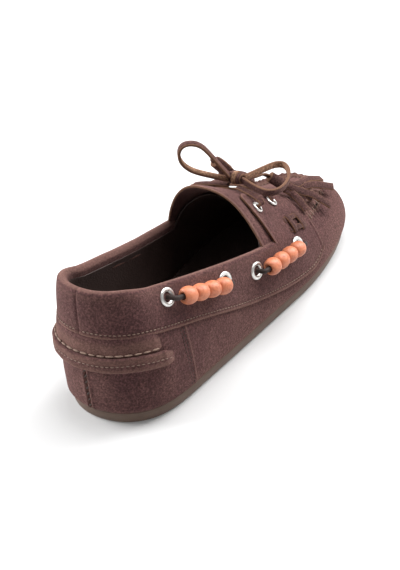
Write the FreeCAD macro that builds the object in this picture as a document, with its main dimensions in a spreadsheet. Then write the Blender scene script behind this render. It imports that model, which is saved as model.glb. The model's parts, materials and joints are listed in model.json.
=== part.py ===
"""Moccasin for one foot: cup outsole, suede upper, lace bow with tassels, beads on a thong.

Frame: toe towards +Y, heel towards -Y, +Z up, origin at the bottom centre.  The upper
follows one last surface: a plan outline, a height along the ridge, and a rounded section.
"""
import FreeCAD, Part
import Sketcher
import math
import os
from FreeCAD import Rotation, Vector

doc = FreeCAD.newDocument("Moccasin")

# ---------------------------------------------------------------- driving dimensions
SIZES = [
    ("shoe_length", 250.0), ("sole_thick", 8.0), ("sole_inset", 3.0), ("toe_spring", 8.0),
    ("suede", 1.3), ("lining_thick", 1.0), ("fold_gap", 0.1), ("bead_size", 10.4),
    ("bead_long", 9.4), ("bead_bore", 3.9), ("bead_gap", 0.3), ("thong_size", 3.0),
    ("eyelet_outer", 11.0), ("eyelet_bore", 5.6), ("eyelet_thick", 1.1), ("small_outer", 7.4),
    ("small_bore", 4.2), ("lace_tube", 2.6), ("board_thick", 2.0), ("filler_thick", 2.4),
    ("sock_thick", 2.2), ("knot_long", 11.0), ("knot_size", 7.0), ("cap_size", 10.0),
    ("cap_long", 13.0),
]
sheet = doc.addObject("Spreadsheet::Sheet", "Sizes")
for row, (alias, value) in enumerate(SIZES, start=1):
    sheet.set(f"A{row}", alias)
    sheet.set(f"B{row}", str(value))
    sheet.setAlias(f"B{row}", alias)
doc.recompute()
size = {alias: float(sheet.get(alias)) for alias, _ in SIZES}

# ---------------------------------------------------------------- the last surface
# Plan outline, right side then left side, as control points of a closed cubic spline.
HALF = size["shoe_length"] / 2
RIGHT = [(14, -126.5), (33, -113), (39.5, -92), (39.5, -66), (40.5, -38), (41, -10),
         (41.6, 18), (42.2, 46), (39.8, 70), (35.5, 92), (27.5, 113), (13, 126.5)]
LEFT = [(-13, 126.5), (-28, 112), (-36.5, 90), (-42, 66), (-44, 40), (-42, 14),
        (-38, -12), (-35.8, -38), (-35.6, -66), (-36, -92), (-31, -113), (-14, -126.5)]
LOOP = [(x, y * HALF / 125.0) for x, y in RIGHT + LEFT]
HEEL_Y = -92.0
TOE_Y = 88.0
RIDGE = [(-126, 121), (-110, 104), (-92, 88), (-60, 84), (-10, 82), (2, 79), (15, 71),
         (31, 61), (45, 53), (60, 45), (80, 36), (97, 31), (126, 26)]
ROUNDNESS = [(-126, 2.3), (0, 2.3), (30, 2.0), (60, 2.0), (126, 2.2)]
SEAM = [(-126, 59.5), (-107, 56.5), (-94, 53), (-79, 48.5), (-58, 41.6), (-33, 32.5), (-19, 28),
        (12, 19.5), (28, 16.4), (45, 15), (55, 17), (62, 20.5)]
WALL_TOP = [(-126, 63.5), (-94, 57), (-58, 45.5), (-19, 32), (12, 23.5), (45, 19.5),
            (54, 22), (62, 37.4), (82, 37.6), (105, 38.5), (126, 38)]
TOPLINE = [(-126, 86), (-112, 84), (-95, 79), (-60, 69), (-10, 56), (21, 49)]
LOWEST_PHI = 0.004
SPRING_FROM = 35.0


def along(stations, y):
    """Smooth value at y through (y, value) stations."""
    if y <= stations[0][0]:
        return stations[0][1]
    if y >= stations[-1][0]:
        return stations[-1][1]
    i = max(k for k in range(len(stations) - 1) if stations[k][0] <= y)

    def slope(k):
        a = stations[max(k - 1, 0)]
        b = stations[min(k + 1, len(stations) - 1)]
        return (b[1] - a[1]) / (b[0] - a[0])
    (y0, v0), (y1, v1) = stations[i], stations[i + 1]
    span = y1 - y0
    f = (y - y0) / span
    g = 1 - f
    return (v0 * g * g * (1 + 2 * f) + v1 * f * f * (3 - 2 * f)
            + span * f * g * (slope(i) * g - slope(i + 1) * f))


def outline(u):
    """Point and outward normal of the plan outline; u runs 0..1 from the heel by the right."""
    n = len(LOOP)
    at = u * n - 0.5
    i = math.floor(at)
    f = at - i
    weights = ((1 - f) ** 3, 3 * f ** 3 - 6 * f * f + 4, 1 + 3 * f + 3 * f * f - 3 * f ** 3, f ** 3)
    slopes = (-(1 - f) ** 2, 3 * f * f - 4 * f, 1 + 2 * f - 3 * f * f, f * f)
    pts = [LOOP[(i + k - 1) % n] for k in range(4)]
    x = sum(w * p[0] for w, p in zip(weights, pts)) / 6
    y = sum(w * p[1] for w, p in zip(weights, pts)) / 6
    dx = sum(w * p[0] for w, p in zip(slopes, pts))
    dy = sum(w * p[1] for w, p in zip(slopes, pts))
    norm = math.hypot(dx, dy)
    return x, y, dy / norm, -dx / norm


def u_at(y, side):
    """Outline parameter at length y on one side (+1 right, -1 left)."""
    lo, hi = (0.0, 0.5) if side > 0 else (1.0, 0.5)
    for _ in range(40):
        mid = (lo + hi) / 2
        lo, hi = (mid, hi) if outline(mid)[1] < y else (lo, mid)
    return (lo + hi) / 2


def base_z(y):
    """Height of the sole's top edge: flat, then rising with the toe spring."""
    rise = max(0.0, (y - SPRING_FROM) / 90.0)
    return size["sole_thick"] + size["toe_spring"] * rise * rise


def surface(u, phi, d):
    """Point of the last at outline parameter u, section angle phi, offset d outwards."""
    ox, oy, nx, ny = outline(u)
    cy = min(max(oy, HEEL_Y), TOE_Y)
    power = 2.0 / along(ROUNDNESS, oy)
    rho = math.cos(phi) ** power
    x = (ox + nx * d) * rho
    y = cy + (oy + ny * d - cy) * rho
    high = along(RIDGE, oy if oy < HEEL_Y else y) + d
    return Vector(x, y, base_z(y) + high * math.sin(phi) ** power)


def phi_for(test):
    """Section angle where test(phi) turns positive, by bisection."""
    lo, hi = 0.0, math.pi / 2 - 0.001
    for _ in range(30):
        mid = (lo + hi) / 2
        lo, hi = (lo, mid) if test(mid) > 0 else (mid, hi)
    return (lo + hi) / 2


def phi_high(u, z, d=0.0):
    """Section angle where the surface reaches height z."""
    return phi_for(lambda p: surface(u, p, d).z - z)


def phi_half(u, x, d=0.0):
    """Section angle where the surface is x away from the middle plane."""
    return phi_for(lambda p: x - abs(surface(u, p, d).x))


def phi_seam(u):
    """Section angle of the band's lower edge."""
    return phi_high(u, along(SEAM, outline(u)[1]))


def phi_wall(u):
    """Section angle of the lower wall's upper edge."""
    return phi_high(u, along(WALL_TOP, outline(u)[1]))


def phi_top(u, over=0.0):
    """Section angle of the topline, moved up by over."""
    return phi_high(u, along(TOPLINE, outline(u)[1]) + over)


def height(x, y, d):
    """Height of the surface, offset by d, over a plan point."""
    side = 1 if x >= 0 else -1
    if y <= TOE_Y:
        u = u_at(y, side)
        ox, oy, nx, ny = outline(u)
        rho = abs(x) / abs(ox + nx * d)
    else:
        lo, hi = 0.5, u_at(TOE_Y, side)
        for _ in range(32):
            mid = (lo + hi) / 2
            ox, oy = outline(mid)[:2]
            beyond = abs(ox) * (y - TOE_Y) > abs(x) * (oy - TOE_Y)
            lo, hi = (lo, mid) if beyond else (mid, hi)
        ox, oy, nx, ny = outline((lo + hi) / 2)
        rho = math.hypot(x, y - TOE_Y) / math.hypot(ox + nx * d, oy + ny * d - TOE_Y)
    power = 2.0 / along(ROUNDNESS, oy)
    phi = math.acos(min(1.0, rho) ** (1 / power))
    return base_z(y) + (along(RIDGE, y) + d) * math.sin(phi) ** power


def normal(u, phi, d=0.0):
    """Outward unit normal of the surface."""
    step = 0.002
    du = surface(u + step, phi, d) - surface(u - step, phi, d)
    dp = surface(u, phi + step, d) - surface(u, phi - step, d)
    return du.cross(dp).normalize()


# ---------------------------------------------------------------- solids from grids
def grid_solid(inner, outer):
    """Closed solid between two grids of points (rows of equal length)."""
    faces = []
    surfs = []
    for rows in (inner, outer):
        s = Part.BSplineSurface()
        s.interpolate(rows)
        surfs.append(s)
        faces.append(s.toShape())
    a, b = surfs
    ua, ub, va, vb = a.bounds()
    for at in (ua, ub):
        faces.append(Part.makeRuledSurface(a.uIso(at).toShape(), b.uIso(at).toShape()))
    for at in (va, vb):
        faces.append(Part.makeRuledSurface(a.vIso(at).toShape(), b.vIso(at).toShape()))
    shell = Part.Shell(Part.makeCompound(faces).Faces)
    shell.sewShape()
    solid = Part.Solid(shell if shell.ShapeType == "Shell" else shell.Shells[0])
    if solid.Volume < 0:
        solid.reverse()
    return solid


def patch(point, across, up, d_in, d_out):
    """Solid of point(a, b, d) for a, b from 0 to 1 in across and up steps."""
    grids = []
    for d in (d_in, d_out):
        grids.append([[point(i / across, j / up, d) for j in range(up + 1)]
                      for i in range(across + 1)])
    return grid_solid(*grids)


def wall(u0, u1, low, high, d_in, d_out, across=16, up=5):
    """Patch of the wall from u0 to u1 between the angles low(u) and high(u)."""
    def point(a, b, d):
        u = u0 + (u1 - u0) * a
        return surface(u, low(u) + (high(u) - low(u)) * b, d)
    return patch(point, across, up, d_in, d_out)


def plan_patch(plan, across, up, d_in, d_out):
    """Patch over the ridge from plan(a, b) = (x, y)."""
    def point(a, b, d):
        x, y = plan(a, b)
        return Vector(x, y, height(x, y, d))
    return patch(point, across, up, d_in, d_out)


def over_ridge(y_low, y_high, low, d_in, d_out, across=12, up=22):
    """Patch from the right side over the ridge to the left, between two lengths."""
    def point(a, b, d):
        side = 1 if b <= 0.5 else -1
        part = abs(1 - 2 * b)
        y0 = y_low(part)
        u = u_at(y0 + (y_high - y0) * a, side)
        return surface(u, math.pi / 2 - (math.pi / 2 - low(u)) * part, d)
    return patch(point, across, up, d_in, d_out)


# ---------------------------------------------------------------- keeping the sub-parts
nodes = []


def keep(obj, label):
    """Give a finished sub-part its Label, which is its node and file name."""
    obj.Label = label
    nodes.append(obj)
    return obj


def feature(label, shape):
    """A free-form sub-part, with its origin at the frame's own."""
    obj = doc.addObject("Part::Feature", label)
    obj.Shape = shape
    obj.Placement = FreeCAD.Placement()
    return keep(obj, label)


def primitive(kind, name, sizes, placement):
    """A Part primitive whose sizes are bound to cells of the sheet."""
    obj = doc.addObject(f"Part::{kind}", name)
    for prop, cell in sizes.items():
        obj.setExpression(prop, cell)
    obj.Placement = placement
    return obj


def boolean(kind, name, base, tool):
    """A Part boolean of two document objects."""
    obj = doc.addObject(f"Part::{kind}", name)
    obj.Base = base
    obj.Tool = tool
    return obj


def place(at, axis):
    """Placement with its own Z along axis."""
    return FreeCAD.Placement(at, Rotation(Vector(0, 0, 1), axis))


def tube(points, radius):
    """Tube along straight runs joined by tangent arcs; prints its tightest radius."""
    edges = []
    start = points[0]
    tight = []
    for i in range(1, len(points) - 1):
        back, here, ahead = points[i - 1], points[i], points[i + 1]
        a = (back - here).normalize()
        b = (ahead - here).normalize()
        turn = math.pi - a.getAngle(b)
        trim = 0.45 * min((here - back).Length, (ahead - here).Length)
        tight.append(trim / math.tan(turn / 2))
        p, q = here + a * trim, here + b * trim
        out = (a + b).normalize()
        centre = here + out * math.hypot(trim, tight[-1])
        mid = centre - out * tight[-1]
        edges.append(Part.LineSegment(start, p).toShape())
        edges.append(Part.Arc(p, mid, q).toShape())
        start = q
    edges.append(Part.LineSegment(start, points[-1]).toShape())
    wire = Part.Wire(edges)
    ring = Part.Wire(Part.Circle(points[0], points[1] - points[0], radius).toShape())
    solid = Part.Wire(edges).makePipeShell([ring], True, False)
    print(f"tube length {wire.Length:.1f}, tightest radius {min(tight):.1f}, "
          f"volume ratio {solid.Volume / (math.pi * radius ** 2 * wire.Length):.4f}")
    return solid


# ---------------------------------------------------------------- outsole and footbed
BELOW = -5.0
CLEAR_X = 60.0


def plan_wire(inset, z, steps=64):
    """Closed smooth wire at height z of the outline moved in by inset."""
    pts = []
    for k in range(steps):
        x, y, nx, ny = outline(k / steps)
        pts.append(Vector(x - nx * inset, y - ny * inset, z))
    curve = Part.BSplineCurve()
    curve.interpolate(Points=pts, PeriodicFlag=True)
    return Part.Wire(curve.toShape())


def lift(y):
    """Toe spring at length y."""
    return base_z(y) - size["sole_thick"]


def sole_slab(inset, bottom, thick):
    """Slab over the sole line, flat and then rising to the toe, cut from a tall prism."""
    prism = Part.Face(plan_wire(inset, BELOW)).extrude(Vector(0, 0, 60))
    reach = 1.1 * HALF
    steps = 12
    rising = [SPRING_FROM + (reach - SPRING_FROM) * k / steps for k in range(steps + 1)]
    edges = []
    ends = []
    for z in (bottom, bottom + thick):
        heel = Vector(-CLEAR_X, -reach, z)
        pts = [Vector(-CLEAR_X, y, lift(y) + z) for y in rising]
        curve = Part.BSplineCurve()
        curve.interpolate(Points=pts)
        edges += [Part.LineSegment(heel, pts[0]).toShape(), curve.toShape()]
        ends.append((heel, pts[-1]))
    for k in (0, 1):
        edges.append(Part.LineSegment(ends[0][k], ends[1][k]).toShape())
    wire = Part.Wire(Part.__sortEdges__(edges))
    return prism.common(Part.Face(wire).extrude(Vector(2 * CLEAR_X, 0, 0)))


suede = size["suede"]
gap = size["fold_gap"]
lining = size["lining_thick"]
floor_z = size["sole_thick"]
board_z = floor_z + size["filler_thick"] + 2 * gap
sock_z = board_z + size["board_thick"] + gap
sock_top = sock_z + size["sock_thick"] + 4 * gap
feature("outsole", sole_slab(size["sole_inset"], 0.0, floor_z - gap))
feature("filler", sole_slab(5.9, floor_z + gap, size["filler_thick"]))
feature("insole_board", sole_slab(5.5, board_z, size["board_thick"]))
feature("sock_liner", sole_slab(5.7, sock_z, size["sock_thick"]))

# ---------------------------------------------------------------- layers of the upper
SIDES = ((1, "right"), (-1, "left"))
COUNTER_Y = -78.0
BAND_END = 12.0
SADDLE_END = 62.0
BACK = 0.0005
GAP_U = 0.0006
WALL = (-suede, 0.0)
BAND = (gap, gap + suede)
STIFF = (-suede - 1.1, -suede - 0.1)
FOAM = (-2.4, 0.0)
SKIN = (-2.5 - lining, -2.5)


def back_u(side):
    """Outline parameter next to the centre back on one side."""
    return BACK if side > 0 else 1 - BACK


def phi_bottom(u):
    """The wall's bottom edge, resting on the sole all round."""
    return LOWEST_PHI


def phi_sock(u):
    """Just above the sock liner."""
    return phi_high(u, sock_top + lift(outline(u)[1]), SKIN[1])


counter_right = u_at(COUNTER_Y, 1)
counter_left = u_at(COUNTER_Y, -1)
for side, name in SIDES:
    feature(f"heel_counter_{name}", wall(back_u(side), u_at(COUNTER_Y, side), phi_bottom,
                                         phi_wall, *WALL, 14, 5))
    feature(f"quarter_lining_{name}", wall(back_u(side), u_at(BAND_END, side), phi_sock,
                                           phi_top, *SKIN, 20, 5))
feature("wall_panel", wall(counter_right + GAP_U, counter_left - GAP_U, phi_bottom,
                           phi_wall, *WALL, 56, 5))
feature("counter_stiffener", wall(counter_left - 1, counter_right, lambda u: phi_high(u, 12.0),
                                  lambda u: phi_high(u, 52.0), *STIFF, 24, 4))
PUFF_Y = 84.0
LINING_GAP = 0.3
toe_y = SADDLE_END + LINING_GAP
feature("toe_puff", wall(u_at(PUFF_Y, 1), u_at(PUFF_Y, -1), lambda u: 0.06,
                         lambda u: phi_wall(u) - 0.03, *STIFF, 20, 4))
feature("toe_lining", wall(u_at(toe_y, 1), u_at(toe_y, -1), phi_sock,
                           lambda u: phi_wall(u) - 0.01, *SKIN, 32, 4))
feature("vamp_lining", over_ridge(lambda part: BAND_END + LINING_GAP, SADDLE_END, phi_sock,
                                  *SKIN))

# plug over the toes: rear line, two sides and the toe arc, blended in plan
PLUG_BACK = 56.0
PLUG_CORNER = 0.432
PLUG_Z = 37.8


def plug_plan(d_edge):
    """Plan of the plug as a function of a (right to left) and b (rear to front)."""
    def edge(u):
        p = surface(u, phi_high(u, PLUG_Z) + d_edge, 0)
        return p.x, p.y

    def side_point(b, side):
        start = u_at(PLUG_BACK, side)
        end = PLUG_CORNER if side > 0 else 1 - PLUG_CORNER
        return edge(start + (end - start) * b)

    def plan(a, b):
        right, left = side_point(b, 1), side_point(b, -1)
        front = edge(PLUG_CORNER + (1 - 2 * PLUG_CORNER) * a)
        rear_r, rear_l = side_point(0, 1), side_point(0, -1)
        front_r, front_l = side_point(1, 1), side_point(1, -1)
        out = []
        for k in (0, 1):
            rear = rear_r[k] * (1 - a) + rear_l[k] * a
            line = right[k] * (1 - a) + left[k] * a + rear * (1 - b) + front[k] * b
            corners = ((1 - b) * rear + b * (front_r[k] * (1 - a) + front_l[k] * a))
            out.append(line - corners)
        return out
    return plan


feature("plug", plan_patch(plug_plan(0.012), 20, 16, *WALL))
feature("plug_lining", plan_patch(lambda a, b: plug_plan(0.17)(a, 0.16 + 0.84 * b),
                                  20, 14, *SKIN))

# bands, saddle with its lace facings, tongue
EYELETS = {"bead": [(-84.5, 69.5), (-39.0, 54.9), (-11.0, 46.0), (36.0, 36.8)],
           "lace": [(18.4, 69.0), (41.2, 59.7)]}
FACING_X = 11.0
FACING_GAP = 0.3


def facing_solid(side):
    """One half of the saddle: from the seam up to the lace gap."""
    def point(a, b, d):
        y0 = BAND_END + FACING_GAP
        y = y0 + (SADDLE_END - y0) * a
        u = u_at(y, side)
        low = phi_seam(u)
        return surface(u, low + (phi_half(u, FACING_X) - low) * b, d)
    return patch(point, 16, 12, *BAND)


def on_band(y, z, side, d):
    """Point and normal on the upper at length y and height z."""
    u = u_at(y, side)
    phi = phi_high(u, z, BAND[1])
    n = normal(u, phi)
    if n.x * side < 0:
        n = n * -1.0
    return surface(u, phi, BAND[1]) + n * (d - BAND[1]), n


def drilled(solid, side, spots, radius):
    """The solid with a hole for each eyelet."""
    for y, z in spots:
        at, n = on_band(y, z, side, BAND[1])
        solid = solid.cut(Part.makeCylinder(radius, 6.0, at - n * 3.0, n))
    return solid


HOLE_EXTRA = 0.6
BEAD_SIDE = "right"
for side, name in SIDES:
    end_u = u_at(BAND_END, side)
    hole = size["eyelet_bore"] / 2 + HOLE_EXTRA
    band = wall(back_u(side), end_u, phi_seam, phi_top, *BAND, 24, 5)
    facing = drilled(facing_solid(side), side, EYELETS["lace"],
                     size["small_bore"] / 2 + HOLE_EXTRA)
    if name == BEAD_SIDE:
        band = drilled(band, side, EYELETS["bead"][:3], hole)
        facing = drilled(facing, side, EYELETS["bead"][3:], hole)
    feature(f"collar_band_{name}", band)
    feature(f"facing_{name}", facing)
    feature(f"collar_foam_{name}", wall(
        back_u(side), end_u, lambda u: phi_high(u, along(SEAM, outline(u)[1]) + 6.0),
        lambda u: phi_top(u, -1.5), *FOAM, 20, 4))
    feature(f"topline_edge_{name}", wall(
        back_u(side), end_u, lambda u: phi_top(u, 0.3), lambda u: phi_top(u, 2.6),
        SKIN[0], BAND[1], 20, 2))
feature("tongue", over_ridge(lambda part: -1.0 + 5.0 * part * part, 51.0,
                             lambda u: phi_half(u, 33.5 - 0.2 * max(0, outline(u)[1] - 4)),
                             *WALL, 12, 24))

# heel: a flat strip under the band and the proud folded lip below it
heel_right, heel_left = u_at(-100, 1), u_at(-100, -1) - 1
feature("heel_strip", wall(heel_left, heel_right, lambda u: phi_high(u, 47.6),
                           lambda u: phi_high(u, along(SEAM, outline(u)[1]) - 0.5), *BAND, 20, 3))
lip_right, lip_left = u_at(-93, 1), u_at(-93, -1) - 1
feature("heel_lip", wall(lip_left, lip_right, lambda u: phi_high(u, 38.5),
                         lambda u: phi_high(u, 47.0), gap, gap + 3.2, 20, 3))

# ---------------------------------------------------------------- woven tabs on the vamp
TABS = [(41.0, 47.5), (51.0, 44.5)]
tabs = []
for side, name in SIDES:
    for y, z in TABS:
        at, n = on_band(y, z, side, BAND[1] + 0.5)
        plate = Part.makeBox(8.0, 4.4, 1.3, Vector(-4.0, -2.2, 0))
        for k in (-1, 1):
            plate = plate.cut(Part.makeBox(2.4, 2.2, 3.0, Vector(k * 1.9 - 1.2, -1.1, -1)))
        plate.Placement = place(at, n)
        tabs.append(plate)
feature("woven_tabs", Part.makeCompound(tabs))


# ---------------------------------------------------------------- eyelets
def eyelet(kind, side, k, y, z, outer, bore):
    """A flanged eyelet: a barrel in the upper and a ring on it."""
    at, n = on_band(y, z, side, 3 * gap)
    tag = f"{kind}_eyelet_{k}_{side}"
    ring_at, _ = on_band(y, z, side, BAND[1] + 0.35)
    ring = primitive("Cylinder", tag + "_ring", {
        "Radius": f"Sizes.{outer} / 2", "Height": "Sizes.eyelet_thick"}, place(ring_at, n))
    barrel = primitive("Cylinder", tag + "_barrel", {
        "Radius": f"Sizes.{bore} / 2 + 0.5", "Height": "Sizes.suede + 0.6"}, place(at, n))
    hole = primitive("Cylinder", tag + "_hole", {
        "Radius": f"Sizes.{bore} / 2", "Height": "12"}, place(at - n * 3, n))
    whole = boolean("Fuse", tag + "_whole", ring, barrel)
    return boolean("Cut", tag, whole, hole)


def group(objects, label):
    """One node of several equal solids."""
    obj = doc.addObject("Part::Compound", label)
    obj.Links = objects
    return keep(obj, label)


group([eyelet("bead", 1, k, y, z, "eyelet_outer", "eyelet_bore")
       for k, (y, z) in enumerate(EYELETS["bead"])], f"bead_eyelets_{BEAD_SIDE}")
for side, name in SIDES:
    group([eyelet("lace", side, k, y, z, "small_outer", "small_bore")
           for k, (y, z) in enumerate(EYELETS["lace"])], f"lace_eyelets_{name}")

# ---------------------------------------------------------------- beads on their thong
RIDE = BAND[1] + size["bead_size"] / 2 + 1.2
BEND_ROOM = 3.9
DROOP = {"rear": 1.6, "front": 0.0}


def bead_row(word, first, second, at_front):
    """Thong between two eyelets and its four beads, pushed to its front or rear end."""
    in_a, n_a = on_band(*first, 1, gap + 0.3)
    in_b, n_b = on_band(*second, 1, gap + 0.3)
    drop = Vector(0, 0, DROOP[word])
    out_a = in_a + n_a * (RIDE - gap) - drop
    out_b = in_b + n_b * (RIDE - gap) - drop
    line = (out_b - out_a).normalize()
    pitch = size["bead_long"] + size["bead_gap"]
    spare = (out_b - out_a).Length - 2 * BEND_ROOM - 4 * pitch
    front = out_b - line * (BEND_ROOM + (0 if at_front else spare))
    for k in range(4):
        centre = front - line * (size["bead_long"] / 2 + pitch * k)
        tag = f"{word}_{k + 1}_{BEAD_SIDE}"
        spot = place(centre, line)
        body = primitive("Ellipsoid", f"ball_{tag}", {
            "Radius1": "Sizes.bead_long / 2 + 0.4", "Radius2": "Sizes.bead_size / 2",
            "Radius3": "Sizes.bead_size / 2"}, spot)
        ends = primitive("Cylinder", f"length_{tag}", {
            "Radius": "Sizes.bead_size", "Height": "Sizes.bead_long"},
            place(centre - line * size["bead_long"] / 2, line))
        bore = primitive("Cylinder", f"bore_{tag}", {
            "Radius": "Sizes.bead_bore / 2", "Height": "Sizes.bead_long + 4"},
            place(centre - line * (size["bead_long"] / 2 + 2), line))
        ball = boolean("Common", f"round_{tag}", body, ends)
        keep(boolean("Cut", f"bead_cut_{tag}", ball, bore), f"bead_{tag}")
    way = -1 if at_front else 1
    print(f"{word} row: slide {tuple(round(way * v, 5) for v in line)}, spare {spare:.2f}")
    return tube([in_a, out_a, out_b, in_b], size["thong_size"] / 2)


bead_eyes = EYELETS["bead"]
feature(f"bead_thong_{BEAD_SIDE}", Part.makeCompound([
    bead_row("rear", bead_eyes[0], bead_eyes[1], True),
    bead_row("front", bead_eyes[2], bead_eyes[3], False)]))

# ---------------------------------------------------------------- lace, knot and bow
KNOT = Vector(0, 31, 78)
knot_axis = Vector(1, 0.2, 0.1)
knot = primitive("Ellipsoid", "knot_form", {
    "Radius1": "Sizes.knot_long / 2", "Radius2": "Sizes.knot_size / 2",
    "Radius3": "Sizes.knot_size / 2"}, place(KNOT, knot_axis))
keep(knot, "lace_knot")
lace = size["lace_tube"] / 2
LEFT_LOOP = [(-3.2, 28.7, 79.4), (-6.6, 25.9, 86.6), (-10.7, 22.6, 95.2), (-14.4, 19.5, 102.4),
             (-18.8, 15.9, 105.3), (-23.8, 12.0, 104.6), (-25.9, 10.1, 99.5), (-25.1, 10.7, 92.9),
             (-21.3, 13.8, 87.4), (-16.8, 17.5, 84.3), (-11.3, 22.0, 81.4), (-4.2, 28.0, 77.6)]
RIGHT_LOOP = [(4.2, 33.5, 77.5), (5.5, 42, 76.5), (7, 53, 75.2), (9, 61.5, 74.2),
              (14, 64.3, 73.6), (22, 57, 73.4), (28.6, 44, 74), (30.2, 32, 75.1),
              (26.2, 26, 76), (19, 26.3, 76.7), (11.5, 28.5, 77.2), (4.8, 30.6, 77.6)]
feature("bow_loop_left", tube([Vector(*p) for p in LEFT_LOOP], lace))
feature("bow_loop_right", tube([Vector(*p) for p in RIGHT_LOOP], lace))


def lace_run(side, y, z, start):
    """Lace from the knot to the upper eyelet."""
    end, n = on_band(y, z, side, gap + 0.4)
    above = end + n * 6.2
    return tube([start, (start + above) * 0.5 + Vector(0, 0, 0.8), above, end], lace)


runs = []
for side, _ in SIDES:
    y, z = EYELETS["lace"][0]
    runs.append(lace_run(side, y, z, KNOT + Vector(3.2 * side, -3.4, -4.2)))
ends = [on_band(*EYELETS["lace"][1], side, gap + 0.4) for side, _ in SIDES]
up_r, up_l = (p + n * 5.4 for p, n in ends)
crown_y = EYELETS["lace"][1][0]
crown = Vector(0, crown_y, height(0, crown_y, 0) + 3.6)
runs.append(tube([ends[0][0], up_r, crown, up_l, ends[1][0]], lace))
feature("lace_runs", Part.makeCompound(runs))

# ---------------------------------------------------------------- tassels
TASSELS = {"right": (Vector(5, 59, 65.5), Vector(13.5, 65.5, 56.2), Vector(22, 97, 46.5),
                     [(1.2, 35.8, 75), (3.0, 43, 72.2), (2.6, 51, 69.8), (2.6, 57.2, 68.1)]),
           "left": (Vector(-18, 34.5, 83.2), Vector(-14, 41.7, 72.4), Vector(-26, 62, 56),
                    [(-4.2, 33, 80.8), (-11, 32.2, 88), (-19.2, 32.4, 86.4)])}


def cap_body(name, start, end):
    """Rolled leather cap as a padded circle with rounded rims."""
    body = doc.addObject("PartDesign::Body", f"cap_{name}")
    sketch = body.newObject("Sketcher::SketchObject", f"cap_ring_{name}")
    plane = [f for f in body.Origin.OriginFeatures if f.Role == "XY_Plane"][0]
    sketch.AttachmentSupport = [(plane, "")]
    sketch.MapMode = "FlatFace"
    radius = size["cap_size"] / 2
    sketch.addGeometry(Part.Circle(Vector(0, 0, 0), Vector(0, 0, 1), radius), False)
    sketch.addConstraint(Sketcher.Constraint("Coincident", 0, 3, -1, 1))
    sketch.addConstraint(Sketcher.Constraint("Radius", 0, radius))
    sketch.setExpression("Constraints[1]", "Sizes.cap_size / 2")
    pad = body.newObject("PartDesign::Pad", f"cap_pad_{name}")
    pad.Profile = sketch
    pad.setExpression("Length", "Sizes.cap_long")
    doc.recompute()
    rims = [f"Edge{k + 1}" for k, e in enumerate(pad.Shape.Edges) if len(e.Vertexes) == 1]
    soft = body.newObject("PartDesign::Fillet", f"cap_fillet_{name}")
    soft.Base = (pad, rims)
    soft.Radius = 1.0
    body.Placement = place(start, end - start)
    return body


def section(at, way, wide, thick):
    """Flat rectangle across way, as a closed wire."""
    flat = Vector(0, 0, 1).cross(way).normalize()
    up = way.cross(flat)
    corners = [at + flat * (wide * i) + up * (thick * j)
               for i, j in ((1, 1), (-1, 1), (-1, -1), (1, -1))]
    return Part.makePolygon(corners + corners[:1])


def fringe_solid(start, way, tip, wide):
    """Flat bundle of strips that leaves the cap along way and spreads to its tip."""
    ahead = (tip - start).normalize()
    mid = start * 0.5 + tip * 0.5
    rings = [section(start, way, 3.4, 3.0), section(mid, ahead, 6.5, 2.4),
             section(tip, ahead, wide, 1.6)]
    return Part.makeLoft(rings, True, True)


for name, (start, end, tip, route) in TASSELS.items():
    keep(cap_body(name, start, end), f"tassel_cap_{name}")
    along_cap = (end - start).normalize()
    after = start + along_cap * (size["cap_long"] + 2 * gap)
    feature(f"tassel_fringe_{name}", fringe_solid(after, along_cap, tip, 9.0))
    before = start - along_cap * gap
    feature(f"lace_tail_{name}", tube([Vector(*p) for p in route] + [before], lace))

# ---------------------------------------------------------------- check and write
doc.recompute()
faults = [f"{o.Name}: {o.State}" for o in doc.Objects if {"Invalid", "Error"} & set(o.State)]
faults += [f"{o.Label}: bad shape" for o in nodes if o.Shape.isNull() or not o.Shape.isValid()]
if faults:
    raise SystemExit("failed: " + "; ".join(faults))
os.makedirs("parts", exist_ok=True)
for obj in nodes:
    obj.Shape.exportStep(f"parts/{obj.Label}.step")
print(len(nodes), "sub-parts written")
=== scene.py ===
"""Looks of one suede moccasin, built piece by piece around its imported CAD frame.

The upper follows the same last surface as the CAD model.  Sizes inside the classes are in
millimetres and become metres when a mesh is made.
"""
import json
import logging
import math
from dataclasses import dataclass
from enum import Enum
from typing import Callable, Sequence

import bmesh
import bpy
import numpy as np
from mathutils import Matrix, Vector, noise

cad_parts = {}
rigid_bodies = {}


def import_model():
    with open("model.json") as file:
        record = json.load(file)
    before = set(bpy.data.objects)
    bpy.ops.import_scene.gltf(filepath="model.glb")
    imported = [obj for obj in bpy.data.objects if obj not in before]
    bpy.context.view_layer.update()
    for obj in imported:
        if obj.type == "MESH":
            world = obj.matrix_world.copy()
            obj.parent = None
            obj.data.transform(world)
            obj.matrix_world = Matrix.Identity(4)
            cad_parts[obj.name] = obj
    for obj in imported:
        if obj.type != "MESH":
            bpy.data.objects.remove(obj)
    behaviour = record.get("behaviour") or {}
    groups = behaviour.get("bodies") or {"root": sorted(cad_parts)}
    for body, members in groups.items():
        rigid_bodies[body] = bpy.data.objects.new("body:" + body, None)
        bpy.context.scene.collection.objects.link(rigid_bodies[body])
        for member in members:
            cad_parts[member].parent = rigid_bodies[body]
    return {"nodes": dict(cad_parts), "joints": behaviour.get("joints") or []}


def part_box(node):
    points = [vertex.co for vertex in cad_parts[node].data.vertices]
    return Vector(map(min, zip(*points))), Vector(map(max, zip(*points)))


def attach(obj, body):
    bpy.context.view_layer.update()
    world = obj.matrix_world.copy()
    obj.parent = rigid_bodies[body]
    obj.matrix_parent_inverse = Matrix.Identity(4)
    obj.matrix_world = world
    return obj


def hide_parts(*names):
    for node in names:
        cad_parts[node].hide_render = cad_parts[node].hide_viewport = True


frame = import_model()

log = logging.getLogger("moccasin")
Array = np.ndarray
MM = 0.001
ROOT = "root"
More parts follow.
